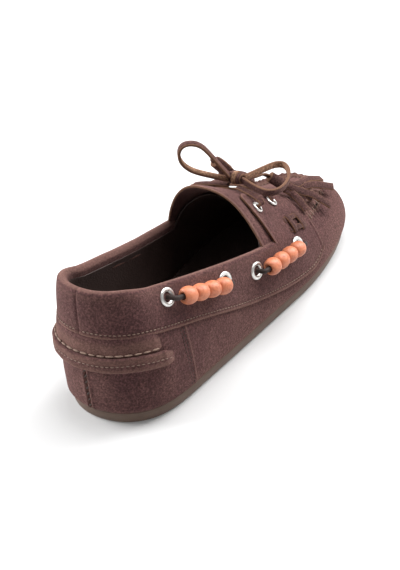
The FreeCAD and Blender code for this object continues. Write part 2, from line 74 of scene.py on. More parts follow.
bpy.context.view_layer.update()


# ------------------------------------------------------------------ the last
def halve(low: Array, high: Array, short: Callable, rounds: int) -> Array:
    """Close in on a value between two bounds.

    Args:
        low: lower bounds.
        high: upper bounds.
        short: tells which of the tried values still fall short.
        rounds: number of halvings.

    Returns:
        The values found.
    """
    for _ in range(rounds):
        mid = (low + high) / 2
        more = short(mid)
        low, high = np.where(more, mid, low), np.where(more, high, mid)
    return (low + high) / 2


def hill(x: Array, peak: float, width: float) -> Array:
    """Smooth bump of height 1 round a peak."""
    return np.exp(-((x - peak) / width) ** 2)


@dataclass(frozen=True)
class Last:
    """The shoe's form: a plan outline, a ridge height and a rounded section, in mm."""

    sole: float = 8.0
    spring: float = 8.0
    spring_from: float = 35.0
    spring_run: float = 90.0
    crown: float = math.pi / 2 - 0.001
    heel_y: float = -92.0
    toe_y: float = 88.0
    loop: tuple = (
        (14, -126.5), (33, -113), (39.5, -92), (39.5, -66), (40.5, -38), (41, -10),
        (41.6, 18), (42.2, 46), (39.8, 70), (35.5, 92), (27.5, 113), (13, 126.5),
        (-13, 126.5), (-28, 112), (-36.5, 90), (-42, 66), (-44, 40), (-42, 14),
        (-38, -12), (-35.8, -38), (-35.6, -66), (-36, -92), (-31, -113), (-14, -126.5))
    ridge: tuple = (
        (-126, 121), (-110, 104), (-92, 88), (-60, 84), (-10, 82), (2, 79), (15, 71), (31, 61),
        (45, 53), (60, 45), (80, 36), (97, 31), (126, 26))
    roundness: tuple = ((-126, 2.3), (0, 2.3), (30, 2.0), (60, 2.0), (126, 2.2))
    seam: tuple = (
        (-126, 59.5), (-107, 56.5), (-94, 53), (-79, 48.5), (-58, 41.6), (-33, 32.5),
        (-19, 28), (12, 19.5), (28, 16.4), (45, 15), (55, 17), (62, 20.5))
    topline: tuple = ((-126, 86), (-112, 84), (-95, 79), (-60, 69), (-10, 56), (21, 49))
    plug: float = 37.8

    @staticmethod
    def along(stations: Sequence, y: Array) -> Array:
        """Smooth values through stations.

        Args:
            stations: (y, value) pairs in order.
            y: lengths to read at; beyond the ends the end value holds.

        Returns:
            One value for each length.
        """
        xs = np.array([s[0] for s in stations], float)
        vs = np.array([s[1] for s in stations], float)
        k = np.arange(len(xs))
        before, after = np.maximum(k - 1, 0), np.minimum(k + 1, len(xs) - 1)
        slope = (vs[after] - vs[before]) / (xs[after] - xs[before])
        y = np.asarray(y, float)
        i = np.clip(np.searchsorted(xs, y, "right") - 1, 0, len(xs) - 2)
        span = xs[i + 1] - xs[i]
        f = np.clip((y - xs[i]) / span, 0, 1)
        g = 1 - f
        return (vs[i] * g * g * (1 + 2 * f) + vs[i + 1] * f * f * (3 - 2 * f)
                + span * f * g * (slope[i] * g - slope[i + 1] * f))

    def outline(self, u: Array) -> tuple[Array, Array, Array, Array]:
        """Plan outline and its outward normal; u runs 0..1 from the heel by the right.

        Args:
            u: outline parameters.

        Returns:
            Plan x and y, in mm, and the two parts of the outward normal.
        """
        pts = np.array(self.loop, float)
        n = len(pts)
        at = np.asarray(u, float) * n - 0.5
        i = np.floor(at).astype(int)
        f = at - i
        weights = ((1 - f) ** 3, 3 * f ** 3 - 6 * f * f + 4,
                   1 + 3 * f + 3 * f * f - 3 * f ** 3, f ** 3)
        slopes = (-(1 - f) ** 2, 3 * f * f - 4 * f, 1 + 2 * f - 3 * f * f, f * f)
        near = [pts[(i + k - 1) % n] for k in range(4)]
        x = sum(w * p[..., 0] for w, p in zip(weights, near)) / 6
        y = sum(w * p[..., 1] for w, p in zip(weights, near)) / 6
        dx = sum(w * p[..., 0] for w, p in zip(slopes, near))
        dy = sum(w * p[..., 1] for w, p in zip(slopes, near))
        size = np.hypot(dx, dy)
        return x, y, dy / size, -dx / size

    def u_at(self, y: Array, side: float) -> Array:
        """Outline parameter at length y on one side (+1 right, -1 left).

        Args:
            y: lengths, in mm.
            side: +1 for the inner side, -1 for the outer side.

        Returns:
            Outline parameters.
        """
        y = np.asarray(y, float)
        heel = np.full(y.shape, 0.0 if side > 0 else 1.0)
        toe = np.full(y.shape, 0.5)
        return halve(heel, toe, lambda u: self.outline(u)[1] < y, 30)

    def base(self, y: Array) -> Array:
        """Height of the sole's top edge."""
        share = np.maximum(0.0, (np.asarray(y, float) - self.spring_from) / self.spring_run)
        return self.sole + self.spring * share * share

    def point(self, u: Array, phi: Array, d: Array) -> Array:
        """Points of the last at outline parameter u, section angle phi and offset d.

        Args:
            u: outline parameter, 0 to 1.
            phi: section angle, 0 at the side, a quarter turn at the crown.
            d: offset outwards, in mm.

        Returns:
            Points, in mm.
        """
        u, phi, d = np.broadcast_arrays(np.asarray(u, float), phi, d)
        ox, oy, nx, ny = self.outline(u)
        cy = np.clip(oy, self.heel_y, self.toe_y)
        power = 2.0 / self.along(self.roundness, oy)
        rho = np.cos(phi) ** power
        x = (ox + nx * d) * rho
        y = cy + (oy + ny * d - cy) * rho
        high = self.along(self.ridge, np.where(oy < self.heel_y, oy, y)) + d
        return np.stack([x, y, self.base(y) + high * np.sin(phi) ** power], -1)

    def angle(self, u: Array, z: Array, d: float = 0.0) -> Array:
        """Section angle where the surface reaches height z.

        Args:
            u: outline parameter, 0 to 1.
            z: heights to reach, in mm.
            d: offset outwards, in mm.

        Returns:
            Section angles.
        """
        u, z = np.broadcast_arrays(np.asarray(u, float), np.asarray(z, float))
        return halve(np.zeros(u.shape), np.full(u.shape, self.crown),
                     lambda phi: ~(self.point(u, phi, d)[..., 2] > z), 26)

    def angle_x(self, u: Array, x: Array) -> Array:
        """Section angle where the surface is x away from the middle plane.

        Args:
            u: outline parameter, 0 to 1.
            x: distances to reach, in mm.

        Returns:
            Section angles.
        """
        u, x = np.broadcast_arrays(np.asarray(u, float), np.asarray(x, float))
        return halve(np.zeros(u.shape), np.full(u.shape, self.crown),
                     lambda phi: ~(np.abs(self.point(u, phi, 0.0)[..., 0]) < x), 26)

    def seam_z(self, u: Array) -> Array:
        """Height of the band's lower edge."""
        return self.along(self.seam, self.outline(u)[1])

    def top_z(self, u: Array) -> Array:
        """Height of the topline."""
        return self.along(self.topline, self.outline(u)[1])

    def height(self, x: Array, y: Array, d: float) -> Array:
        """Height of the surface, offset by d, over plan points.

        Args:
            x: distance from the middle plane, in mm.
            y: length along the shoe, in mm.
            d: offset outwards, in mm.

        Returns:
            Heights, in mm.
        """
        x, y = np.broadcast_arrays(np.asarray(x, float), np.asarray(y, float))
        side = np.where(x >= 0, 1.0, -1.0)
        u_r, u_l = self.u_at(np.minimum(y, self.toe_y), 1), self.u_at(np.minimum(y, self.toe_y), -1)
        u_flat = np.where(side > 0, u_r, u_l)

        def inside(u: Array) -> Array:
            """Whether the outline at u lies on the near side of the line to the point."""
            ox, oy = self.outline(u)[:2]
            return ~(np.abs(ox) * (y - self.toe_y) > np.abs(x) * (oy - self.toe_y))
        u_fan = halve(np.full(x.shape, 0.5), u_flat, inside, 28)
        u = np.where(y <= self.toe_y, u_flat, u_fan)
        ox, oy, nx, ny = self.outline(u)
        flat = np.abs(x) / np.abs(ox + nx * d)
        fan = np.hypot(x, y - self.toe_y) / np.hypot(ox + nx * d, oy + ny * d - self.toe_y)
        rho = np.minimum(1.0, np.where(y <= self.toe_y, flat, fan))
        power = 2.0 / self.along(self.roundness, oy)
        phi = np.arccos(rho ** (1 / power))
        return self.base(y) + (self.along(self.ridge, y) + d) * np.sin(phi) ** power

    def normal(self, u: Array, phi: Array, d: float = 0.0) -> Array:
        """Outward unit normals.

        Args:
            u: outline parameter, 0 to 1.
            phi: section angle, 0 at the side, a quarter turn at the crown.
            d: offset outwards, in mm.

        Returns:
            Unit normals.
        """
        step = 0.002
        du = self.point(u + step, phi, d) - self.point(np.asarray(u) - step, phi, d)
        dp = self.point(u, phi + step, d) - self.point(u, phi - step, d)
        n = np.cross(du, dp)
        return n / np.linalg.norm(n, axis=-1, keepdims=True)

    def on_band(self, y: float, z: float, side: int, d: float) -> tuple[Array, Array]:
        """Point and normal on the upper's outer face at length y and height z.

        Args:
            y: length along the shoe, in mm.
            z: height, in mm.
            side: +1 for the inner side, -1 for the outer side.
            d: offset outwards, in mm.

        Returns:
            The point, in mm, and the unit normal.
        """
        u = self.u_at(y, side)
        phi = self.angle(u, z, BAND_OUT)
        n = self.normal(u, phi)
        if (n[2] < 0 and abs(n[0]) < 0.2) or n[0] * side < 0:
            n = -n
        return self.point(u, phi, BAND_OUT) + n * (d - BAND_OUT), n


SUEDE = 1.3
BAND_OUT = 1.4
PERIMETER = 690.0
LAST = Last()


# ------------------------------------------------------------------ materials
class Shade:
    """Small helper that builds one node material."""

    def __init__(self, name: str) -> None:
        """Start an empty material called name.

        Args:
            name: name to give.
        """
        self.mat = bpy.data.materials.new(name)
        self.mat.use_nodes = True
        self.tree = self.mat.node_tree
        self.shader = self.tree.nodes["Principled BSDF"]
        self.coords = self.tree.nodes.new("ShaderNodeTexCoord")

    def add(self, kind: str, **inputs) -> bpy.types.Node:
        """Add a node and set or link its inputs by name.

        Args:
            kind: node type without its ShaderNode prefix.
            inputs: socket names with underscores, as values or output sockets.

        Returns:
            The new node.
        """
        node = self.tree.nodes.new("ShaderNode" + kind)
        for key, value in inputs.items():
            socket = node.inputs[key.replace("_", " ")]
            if isinstance(value, bpy.types.NodeSocket):
                self.tree.links.new(value, socket)
            else:
                socket.default_value = value
        return node

    def noise(self, scale: float, detail: float = 3.0, rough: float = 0.55,
              warp: float = 0.0) -> bpy.types.NodeSocket:
        """Noise on Object coordinates; scale in lumps per metre.

        Args:
            scale: lumps per metre.
            detail: octaves of the noise.
            rough: strength of the finer octaves.
            warp: distortion of the noise.

        Returns:
            The noise value.
        """
        node = self.add("TexNoise", Vector=self.coords.outputs["Object"], Scale=scale,
                        Detail=detail, Roughness=rough, Distortion=warp)
        return node.outputs["Fac"]

    def ramp(self, factor: bpy.types.NodeSocket, stops: Sequence) -> bpy.types.NodeSocket:
        """Colour ramp through (position, colour) stops.

        Args:
            factor: socket or number that drives it.
            stops: (position, colour) pairs.

        Returns:
            The colour.
        """
        node = self.add("ValToRGB", Fac=factor)
        ramp = node.color_ramp
        while len(ramp.elements) < len(stops):
            ramp.elements.new(0.5)
        for element, (pos, color) in zip(ramp.elements, stops):
            element.position = pos
            element.color = (*color, 1) if len(color) == 3 else color
        return node.outputs["Color"]

    def mix(self, factor, a, b, mode: str = "MIX") -> bpy.types.NodeSocket:
        """Mix two colours.

        Args:
            factor: socket or number that drives it.
            a: first colour.
            b: second colour.
            mode: blend mode.

        Returns:
            The mixed colour.
        """
        node = self.tree.nodes.new("ShaderNodeMix")
        node.data_type = "RGBA"
        node.blend_type = mode
        for socket, value in ((node.inputs[0], factor), (node.inputs[6], a), (node.inputs[7], b)):
            if isinstance(value, bpy.types.NodeSocket):
                self.tree.links.new(value, socket)
            elif isinstance(value, tuple):
                socket.default_value = (*value, 1)
            else:
                socket.default_value = value
        return node.outputs[2]

    def math(self, op: str, a, b=0.0) -> bpy.types.NodeSocket:
        """One Math node.

        Args:
            op: operation of the node.
            a: first number or socket.
            b: second number or socket.

        Returns:
            The result.
        """
        node = self.tree.nodes.new("ShaderNodeMath")
        node.operation = op
        for socket, value in zip(node.inputs, (a, b)):
            if isinstance(value, bpy.types.NodeSocket):
                self.tree.links.new(value, socket)
            else:
                socket.default_value = value
        return node.outputs[0]

    def attribute(self, name: str) -> bpy.types.NodeSocket:
        """A float attribute of the mesh.

        Args:
            name: name of the attribute.

        Returns:
            The value.
        """
        node = self.tree.nodes.new("ShaderNodeAttribute")
        node.attribute_name = name
        return node.outputs["Fac"]

    def bump(self, height, distance: float, strength: float = 1.0, under=None):
        """Bump node, on top of another bump if one is given.

        Args:
            height: socket with the height.
            distance: depth in metres.
            strength: share of the effect.
            under: normal of a bump below this one.

        Returns:
            The normal.
        """
        node = self.add("Bump", Height=height, Distance=distance, Strength=strength)
        if under is not None:
            self.tree.links.new(under, node.inputs["Normal"])
        return node.outputs["Normal"]

    def finish(self, color, rough, normal=None, **constants: float) -> bpy.types.Material:
        """Connect the shader and return the material.

        Args:
            color: colour or socket.
            rough: roughness or socket.
            normal: normal socket.
            constants: other shader inputs by name.

        Returns:
            The finished material.
        """
        for name, value in (("Base Color", color), ("Roughness", rough), ("Normal", normal)):
            if isinstance(value, bpy.types.NodeSocket):
                self.tree.links.new(value, self.shader.inputs[name])
            elif isinstance(value, tuple):
                self.shader.inputs[name].default_value = (*value, 1)
            elif value is not None:
                self.shader.inputs[name].default_value = value
        for name, value in constants.items():
            self.shader.inputs[name.replace("_", " ")].default_value = value
        return self.mat


def srgb(code: str) -> tuple[float, float, float]:
    """Linear colour of a six-digit hex code.

    Args:
        code: six hex digits.

    Returns:
        Red, green and blue.
    """
    out = []
    for k in (0, 2, 4):
        c = int(code[k:k + 2], 16) / 255
        out.append(c / 12.92 if c <= 0.04045 else ((c + 0.055) / 1.055) ** 2.4)
    return tuple(out)


@dataclass(frozen=True)
class Suede:
    """Brushed plum-brown leather with a speckled nap, worn paler along folds."""

    dark: str = "483031"
    pale: str = "583e3c"
    worn: str = "7a5d52"
    fuzz: str = "a07e74"

    def material(self, name: str) -> bpy.types.Material:
        """Build the suede; the wear attribute lightens folds and edges.

        Args:
            name: name to give.

        Returns:
            The material.
        """
        s = Shade(name)
        cloud = s.noise(38, 2.0, 0.5)
        nap = s.noise(820, 4.0, 0.75)
        grain = s.noise(3400, 2.0, 0.6)
        color = s.ramp(cloud, [(0.3, srgb(self.dark)), (0.7, srgb(self.pale))])
        speck = s.ramp(nap, [(0.3, (0.3, 0.28, 0.29)), (0.5, (0.93, 0.92, 0.92)),
                             (0.7, (2.2, 2.15, 2.1))])
        color = s.mix(1.0, color, speck, "MULTIPLY")
        rub = s.math("MULTIPLY", s.attribute("wear"), s.math("ADD", nap, 0.25))
        color = s.mix(rub, color, srgb(self.worn))
        low = s.bump(nap, 0.0009, 0.5)
        normal = s.bump(grain, 0.0004, 0.5, low)
        s.shader.inputs["Sheen Tint"].default_value = (*srgb(self.fuzz), 1)
        return s.finish(color, 0.95, normal, Sheen_Weight=0.5, Sheen_Roughness=0.5,
                        Specular_IOR_Level=0.1)


@dataclass(frozen=True)
class RawEdge:
    """Cut edge of the suede: tan fibres."""

    base: str = "87644f"
    deep: str = "553c32"

    def material(self, name: str) -> bpy.types.Material:
        """Build the cut edge.

        Args:
            name: name to give.

        Returns:
            The material.
        """
        s = Shade(name)
        fibre = s.noise(1800, 3.0, 0.7)
        color = s.ramp(fibre, [(0.3, srgb(self.deep)), (0.7, srgb(self.base))])
        return s.finish(color, 0.9, s.bump(fibre, 0.0005, 0.7), Specular_IOR_Level=0.15)


@dataclass(frozen=True)
class Grained:
    """Smooth leather with a fine pebble grain and a soft gloss."""

    base: str
    pale: str
    rough: float = 0.42
    scale: float = 900.0

    def material(self, name: str) -> bpy.types.Material:
        """Build the leather.

        Args:
            name: name to give.

        Returns:
            The material.
        """
        s = Shade(name)
        pebble = s.add("TexVoronoi", Vector=s.coords.outputs["Object"], Scale=self.scale)
        cloud = s.noise(45, 3.0, 0.6)
        fine = s.noise(self.scale * 2.2, 2.0, 0.6)
        color = s.ramp(cloud, [(0.3, srgb(self.base)), (0.75, srgb(self.pale))])
        color = s.mix(0.35, color, s.ramp(fine, [(0.3, (0.6, 0.6, 0.6)), (0.7, (1.1, 1.1, 1.1))]),
                      "MULTIPLY")
        rough = s.math("ADD", s.math("MULTIPLY", cloud, 0.25), self.rough - 0.1)
        normal = s.bump(pebble.outputs["Distance"], 0.0004, 0.5)
        return s.finish(color, rough, normal, Specular_IOR_Level=0.4)


@dataclass(frozen=True)
class Rubber:
    """Matte moulded rubber of the sole."""

    base: str = "5c493e"
    dust: str = "6a574b"

    def material(self, name: str) -> bpy.types.Material:
        """Build the rubber.

        Args:
            name: name to give.

        Returns:
            The material.
        """
        s = Shade(name)
        cloud = s.noise(60, 4.0, 0.6)
        pit = s.noise(1500, 2.0, 0.5)
        color = s.ramp(cloud, [(0.35, srgb(self.base)), (0.8, srgb(self.dust))])
        rough = s.math("ADD", s.math("MULTIPLY", pit, 0.2), 0.5)
        return s.finish(color, rough, s.bump(pit, 0.0002, 0.5), Specular_IOR_Level=0.35)


@dataclass(frozen=True)
class BeadWood:
    """Salmon-stained turned wood with a soft wax gloss."""

    base: str = "c4734f"
    pale: str = "d0825e"
    deep: str = "ab5c3c"

    def material(self, name: str) -> bpy.types.Material:
        """Build the wood: soft streaks and fine pores under the wax.

        Args:
            name: name to give.

        Returns:
            The material.
        """
        s = Shade(name)
        streak = s.noise(210, 3.0, 0.6, 1.5)
        pores = s.noise(2200, 2.0, 0.6)
        color = s.ramp(streak, [(0.3, srgb(self.deep)), (0.5, srgb(self.base)),
                                (0.75, srgb(self.pale))])
        color = s.mix(0.3, color, s.ramp(pores, [(0.34, (0.55, 0.45, 0.42)), (0.46, (1, 1, 1))]),
                      "MULTIPLY")
        return s.finish(color, 0.5, s.bump(pores, 0.0002, 0.3), Coat_Weight=0.15,
                        Coat_Roughness=0.35)


@dataclass(frozen=True)
class Plated:
    """Bright nickel plate of the eyelets."""

    def material(self, name: str) -> bpy.types.Material:
        """Build the metal with faint handling marks.

        Args:
            name: name to give.

        Returns:
            The material.
        """
        s = Shade(name)
        haze = s.noise(900, 3.0, 0.6)
        color = s.ramp(haze, [(0.3, srgb("cfcdca")), (0.7, srgb("eeece8"))])
        rough = s.math("ADD", s.math("MULTIPLY", haze, 0.1), 0.28)
        return s.finish(color, rough, s.bump(haze, 0.00003, 0.2), Metallic=0.9)


@dataclass(frozen=True)
class Thread:
    """Waxed twisted thread."""

    base: str = "977d6e"
    deep: str = "66514a"

    def material(self, name: str) -> bpy.types.Material:
        """Build the thread.

        Args:
            name: name to give.

        Returns:
            The material.
        """
        s = Shade(name)
        twist = s.noise(3200, 2.0, 0.6)
        color = s.ramp(twist, [(0.3, srgb(self.deep)), (0.62, srgb(self.base))])
        return s.finish(color, 0.7, s.bump(twist, 0.0003, 0.6), Specular_IOR_Level=0.3)


@dataclass(frozen=True)
class Fibre:
    """Pressed board, felt or foam hidden in the shoe."""

    base: str
    pale: str

    def material(self, name: str) -> bpy.types.Material:
        """Build the fibre.

        Args:
            name: name to give.

        Returns:
            The material.
        """
        s = Shade(name)
        fleck = s.noise(700, 3.0, 0.7)
        color = s.ramp(fleck, [(0.3, srgb(self.base)), (0.7, srgb(self.pale))])
        return s.finish(color, 0.9, s.bump(fleck, 0.0004, 0.6))


class Finish(Enum):
    """Every finish of the shoe."""

    SUEDE = Suede()
    EDGE = RawEdge()
    LACE = Suede(dark="402c2b", pale="533a37", worn="7a5f52")
    FLESH = Suede(dark="7d5f4b", pale="94745e", worn="a58570")
    LINING = Grained("3a2c29", "4c3d39")
    SOCK = Grained("40332f", "544641", 0.5, 1100.0)
    THONG = Grained("211512", "35231d", 0.65, 1500.0)
    RUBBER = Rubber()
    BEAD = BeadWood()
    METAL = Plated()
    THREAD = Thread()
    DARK_THREAD = Thread(base="4a3a34", deep="2c211e")
    BOARD = Fibre("7a6248", "9a8060")
    FOAM = Fibre("9a958a", "bdb8ab")

    @property
    def mat(self) -> bpy.types.Material:
        """The material, made once."""
        name = f"{self.name.lower()}_finish"
        return bpy.data.materials.get(name) or self.value.material(name)


# ------------------------------------------------------------------ mesh tools
def grid_faces(rows: int, cols: int, start: int = 0, wrap: bool = False) -> list:
    """Quads of a grid stored row by row.

    Args:
        rows: number of rows.
        cols: points in each row.
        start: index of the first point.
        wrap: whether the last row joins the first.

    Returns:
        Faces as index tuples.
    """
    out = []
    for i in range(rows if wrap else rows - 1):
        for j in range(cols - 1):
            a = start + i * cols + j
            b = start + ((i + 1) % rows) * cols + j
            out.append((a, b, b + 1, a + 1))
    return out


def loft_faces(rows: int, cols: int, wrap: bool = False) -> list:
    """Quads between closed sections, with end caps unless the rows wrap round.

    Args:
        rows: number of sections.
        cols: points in each section.
        wrap: whether the last section joins the first.

    Returns:
        Faces as index tuples; the two caps come last.
    """
    out = []
    for i in range(rows if wrap else rows - 1):
        for j in range(cols):
            k, q = (i + 1) % rows, (j + 1) % cols
            out.append((i * cols + j, i * cols + q, k * cols + q, k * cols + j))
    if not wrap:
        out.append(tuple(range(cols - 1, -1, -1)))
        out.append(tuple((rows - 1) * cols + j for j in range(cols)))
    return out


def turned(name: str, at: Array, axis: Array, ref: Array, section: Sequence, count: int,
           finish: Finish, flat: Callable | None = None) -> bpy.types.Object:
    """Round piece turned about an axis.

    Args:
        name: piece name.
        at: centre, in mm.
        axis: unit direction of the axis.
        ref: any direction that isn't along the axis.
        section: closed section as (radius, place along the axis) points.
        count: steps round the axis.
        finish: its finish.
        flat: scale of a radius at an angle, for a piece that isn't quite round.

    Returns:
        The turned object.
    """
    w = np.cross(axis, ref)
    w /= np.linalg.norm(w)
    v = np.cross(axis, w)
    rows = []
    for k in range(count):
        a = 2 * math.pi * k / count
        out = w * math.cos(a) + v * math.sin(a)
        rows.append([at + out * r * (flat(r, a) if flat else 1) + axis * z for r, z in section])
    obj = make_object(name, np.array(rows), loft_faces(count, len(section), wrap=True), (finish,))
    merge(obj, 1e-7, outward=True)
    return obj


def make_object(name: str, verts: Array, faces: list, mats: Sequence[Finish],
                wear: Array | None = None) -> bpy.types.Object:
    """Make a smooth-shaded mesh object from points in mm.

    Args:
        name: piece name.
        verts: points, in mm.
        faces: index tuples.
        mats: finishes of its material slots.
        wear: optional wear value of each point.

    Returns:
        The object, linked to the scene.
    """
    mesh = bpy.data.meshes.new(name)
    mesh.from_pydata((np.asarray(verts).reshape(-1, 3) * MM).tolist(), [], faces)
    for finish in mats:
        mesh.materials.append(finish.mat)
    layer = mesh.attributes.new("wear", "FLOAT", "POINT")
    layer.data.foreach_set("value", np.zeros(len(mesh.vertices)) if wear is None
                           else np.asarray(wear, float).ravel())
    mesh.polygons.foreach_set("use_smooth", [True] * len(mesh.polygons))
    mesh.update()
    obj = bpy.data.objects.new(name, mesh)
    bpy.context.scene.collection.objects.link(obj)
    return obj


def apply_modifiers(obj: bpy.types.Object) -> bpy.types.Object:
    """Turn the evaluated object into a plain mesh, in place.

    Args:
        obj: mesh object.

    Returns:
        The same object, now a plain mesh.
    """
    graph = bpy.context.evaluated_depsgraph_get()
    mesh = bpy.data.meshes.new_from_object(obj.evaluated_get(graph))
    old = obj.data
    obj.modifiers.clear()
    obj.data = mesh
    if old.users == 0 and isinstance(old, bpy.types.Mesh):
        bpy.data.meshes.remove(old)
    mesh.name = obj.name
    return obj


def merge(obj: bpy.types.Object, distance: float = 1e-5, outward: bool = False) -> None:
    """Weld close points of an object; turn its faces outwards if asked.

    Args:
        obj: mesh object.
        distance: distance to weld within, in metres.
        outward: whether faces are turned outwards.
    """
    bm = bmesh.new()
    bm.from_mesh(obj.data)
    bmesh.ops.remove_doubles(bm, verts=bm.verts, dist=distance)
    if outward:
        bmesh.ops.recalc_face_normals(bm, faces=bm.faces)
    bm.to_mesh(obj.data)
    bm.free()


def close_up(obj: bpy.types.Object) -> bpy.types.Object:
    """Fill the open ends of a mesh and turn its faces outwards.

    Args:
        obj: mesh object, changed in place.

    Returns:
        The same object.
    """
    bm = bmesh.new()
    bm.from_mesh(obj.data)
    bmesh.ops.holes_fill(bm, edges=[e for e in bm.edges if e.is_boundary], sides=0)
    bmesh.ops.recalc_face_normals(bm, faces=bm.faces)
    bm.to_mesh(obj.data)
    bm.free()
    return obj


def thicken(obj: bpy.types.Object, thick: float, rim: int = 1, round_by: float = 0.25,
            offset: float = -1.0) -> bpy.types.Object:
    """Give a sheet its thickness (mm), with rounded rims in their own finish.

    Args:
        obj: mesh object.
        thick: thickness, in mm.
        rim: material step from the faces to the cut rim.
        round_by: rounding of the rim, in mm.
        offset: side that the thickness grows to.

    Returns:
        The same object.
    """
    solid = obj.modifiers.new("thick", "SOLIDIFY")
    solid.thickness = thick * MM
    solid.offset = offset
    solid.use_even_offset = False
    solid.material_offset_rim = rim
    bevel = obj.modifiers.new("round", "BEVEL")
    bevel.width = round_by * MM
    bevel.segments = 2
    bevel.limit_method = "ANGLE"
    bevel.angle_limit = math.radians(50)
    bevel.harden_normals = False
    return apply_modifiers(obj)


def settle(obj: bpy.types.Object, body: str, slot: str, *nodes: str) -> bpy.types.Object:
    """Tie a finished piece to its body and hide the CAD nodes that it stands for.

    Args:
        obj: mesh object.
        body: body that carries it.
        slot: not used.
        nodes: CAD nodes that it stands for.

    Returns:
        The same object.
    """
    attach(obj, body)
    if nodes:
        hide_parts(*nodes)
    log.info("%s: %d points on %s", obj.name, len(obj.data.vertices), body)
    return obj


def wobble(points: Array, size: float, scale: float, seed: float = 0.0) -> Array:
    """Smooth random numbers between -size and size at points in mm.

    Args:
        points: points, in mm.
        size: largest value.
        scale: lumps per mm.
        seed: seed of the unevenness.

    Returns:
        One value for each point.
    """
    flat = points.reshape(-1, 3) * scale + seed
    out = np.array([noise.noise(Vector(p)) for p in flat])
    return (out * size).reshape(points.shape[:-1])


def panel_grid(us: Array, lows: Array, highs: Array, steps: Array, lift: Callable) -> tuple:
    """Points of a panel of the last between two section angles.

    Args:
        us: outline parameters, one for each column.
        lows: section angles of the lower edge.
        highs: section angles of the upper edge.
        steps: fractions of the way up, one for each row.
        lift: offset from the last, as a function of (mm from low edge, mm from high edge).

    Returns:
        Points (columns, rows, 3) and the distances from both edges.
    """
    phi = lows[:, None] + (highs - lows)[:, None] * steps[None, :]
    flat = LAST.point(us[:, None], phi, 0.0)
    gaps = np.linalg.norm(np.diff(flat, axis=1), axis=-1)
    up = np.concatenate([np.zeros((len(us), 1)), np.cumsum(gaps, 1)], 1)
    down = up[:, -1:] - up
    return LAST.point(us[:, None], phi, lift(up, down)), up, down


def eased(count: int, dense: float = 0.35) -> Array:
    """Fractions 0..1 that crowd at both ends."""
    t = np.linspace(0, 1, count)
    return t - dense / (2 * math.pi) * np.sin(2 * math.pi * t)


def nurbs_line(points: Sequence, resolution: int = 12) -> Array:
    """Read a smooth line (mm) through a route's own control points (mm).

    Args:
        points: points, in mm.
        resolution: steps between points.

    Returns:
        Points along the line, in mm.
    """
    curve = bpy.data.curves.new("route", "CURVE")
    curve.dimensions = "3D"
    spline = curve.splines.new("NURBS")
    spline.points.add(len(points) - 1)
    for target, p in zip(spline.points, points):
        target.co = (p[0] * MM, p[1] * MM, p[2] * MM, 1)
    spline.order_u = 3
    spline.use_endpoint_u = True
    spline.resolution_u = resolution
    obj = bpy.data.objects.new("route", curve)
    bpy.context.scene.collection.objects.link(obj)
    graph = bpy.context.evaluated_depsgraph_get()
    mesh = bpy.data.meshes.new_from_object(obj.evaluated_get(graph))
    line = np.array([v.co[:] for v in mesh.vertices]) / MM
    bpy.data.meshes.remove(mesh)
    bpy.data.objects.remove(obj)
    bpy.data.curves.remove(curve)
    return line


def frames(line: Array, wide: Array) -> tuple[Array, Array, Array]:
    """Tangent, width and thickness directions along a line, given rough width directions.

    Args:
        line: line, in mm.
        wide: rough width direction, one or one for each point.

    Returns:
        Three arrays of unit vectors.
    """
    t = np.gradient(line, axis=0)
    t /= np.linalg.norm(t, axis=1, keepdims=True)
    w = np.broadcast_to(wide, line.shape).astype(float).copy()
    w -= (w * t).sum(1, keepdims=True) * t
    w /= np.linalg.norm(w, axis=1, keepdims=True)
    return t, w, np.cross(t, w)


def strap(name: str, line: Array, wide: Array, width: float, thick: float,
          faces: Finish = Finish.LACE, edges: Finish = Finish.EDGE, flesh: int = 0) -> bpy.types.Object:
    """Flat leather strap along a line.

    Args:
        name: piece name.
        line: centre line, in mm.
        wide: rough direction of the strap's width, one or one for each point.
        width: width in mm.
        thick: thickness in mm.
        faces: finish of the two flat faces.
        edges: finish of the cut edges.
        flesh: 1 or -1 where one face shows the paler inner side of the leather.

    Returns:
        The strap object.
    """
    _, w, n = frames(line, wide)
    a, b = width / 2, thick / 2
    r = min(b * 0.55, 0.5)
    ring = [(-a + r, -b), (0, -b * 1.04), (a - r, -b), (a, -b + r), (a, b - r), (a - r, b),
            (0, b * 1.04), (-a + r, b), (-a, b - r), (-a, -b + r)]
    cut = {2, 3, 4, 7, 8, 9}
    pale = {1: {5, 6}, -1: {0, 1}, 0: set()}[flesh]
    pts = np.array([[p + w[k] * x + n[k] * y for x, y in ring] for k, p in enumerate(line)])
    sides = [1 if j in cut else 2 if j in pale else 0 for j in range(len(ring))]
    kinds = sides * (len(line) - 1) + [1, 1]
    obj = make_object(name, pts, loft_faces(len(line), len(ring)), (faces, edges, Finish.FLESH))
    obj.data.polygons.foreach_set("material_index", kinds)
    merge(obj, 1e-7, outward=True)
    return obj


def tube(name: str, line: Array, radius: float, finish: Finish, sides: int = 12) -> bpy.types.Object:
    """Round cord along a line, closed at both ends.

    Args:
        name: name to give.
        line: centre line, in mm.
        radius: radius, in mm.
        finish: finish of the surface.
        sides: points round the cord.

    Returns:
        The cord object.
    """
    ref = np.array([0.13, 0.21, 0.97])
    _, w, n = frames(line, ref)
    ang = np.linspace(0, 2 * math.pi, sides, endpoint=False)
    pts = (line[:, None] + radius * (np.cos(ang)[None, :, None] * w[:, None]
                                     + np.sin(ang)[None, :, None] * n[:, None]))
    obj = make_object(name, pts, loft_faces(len(line), sides), (finish,))
    merge(obj, 1e-7, outward=True)
    return obj


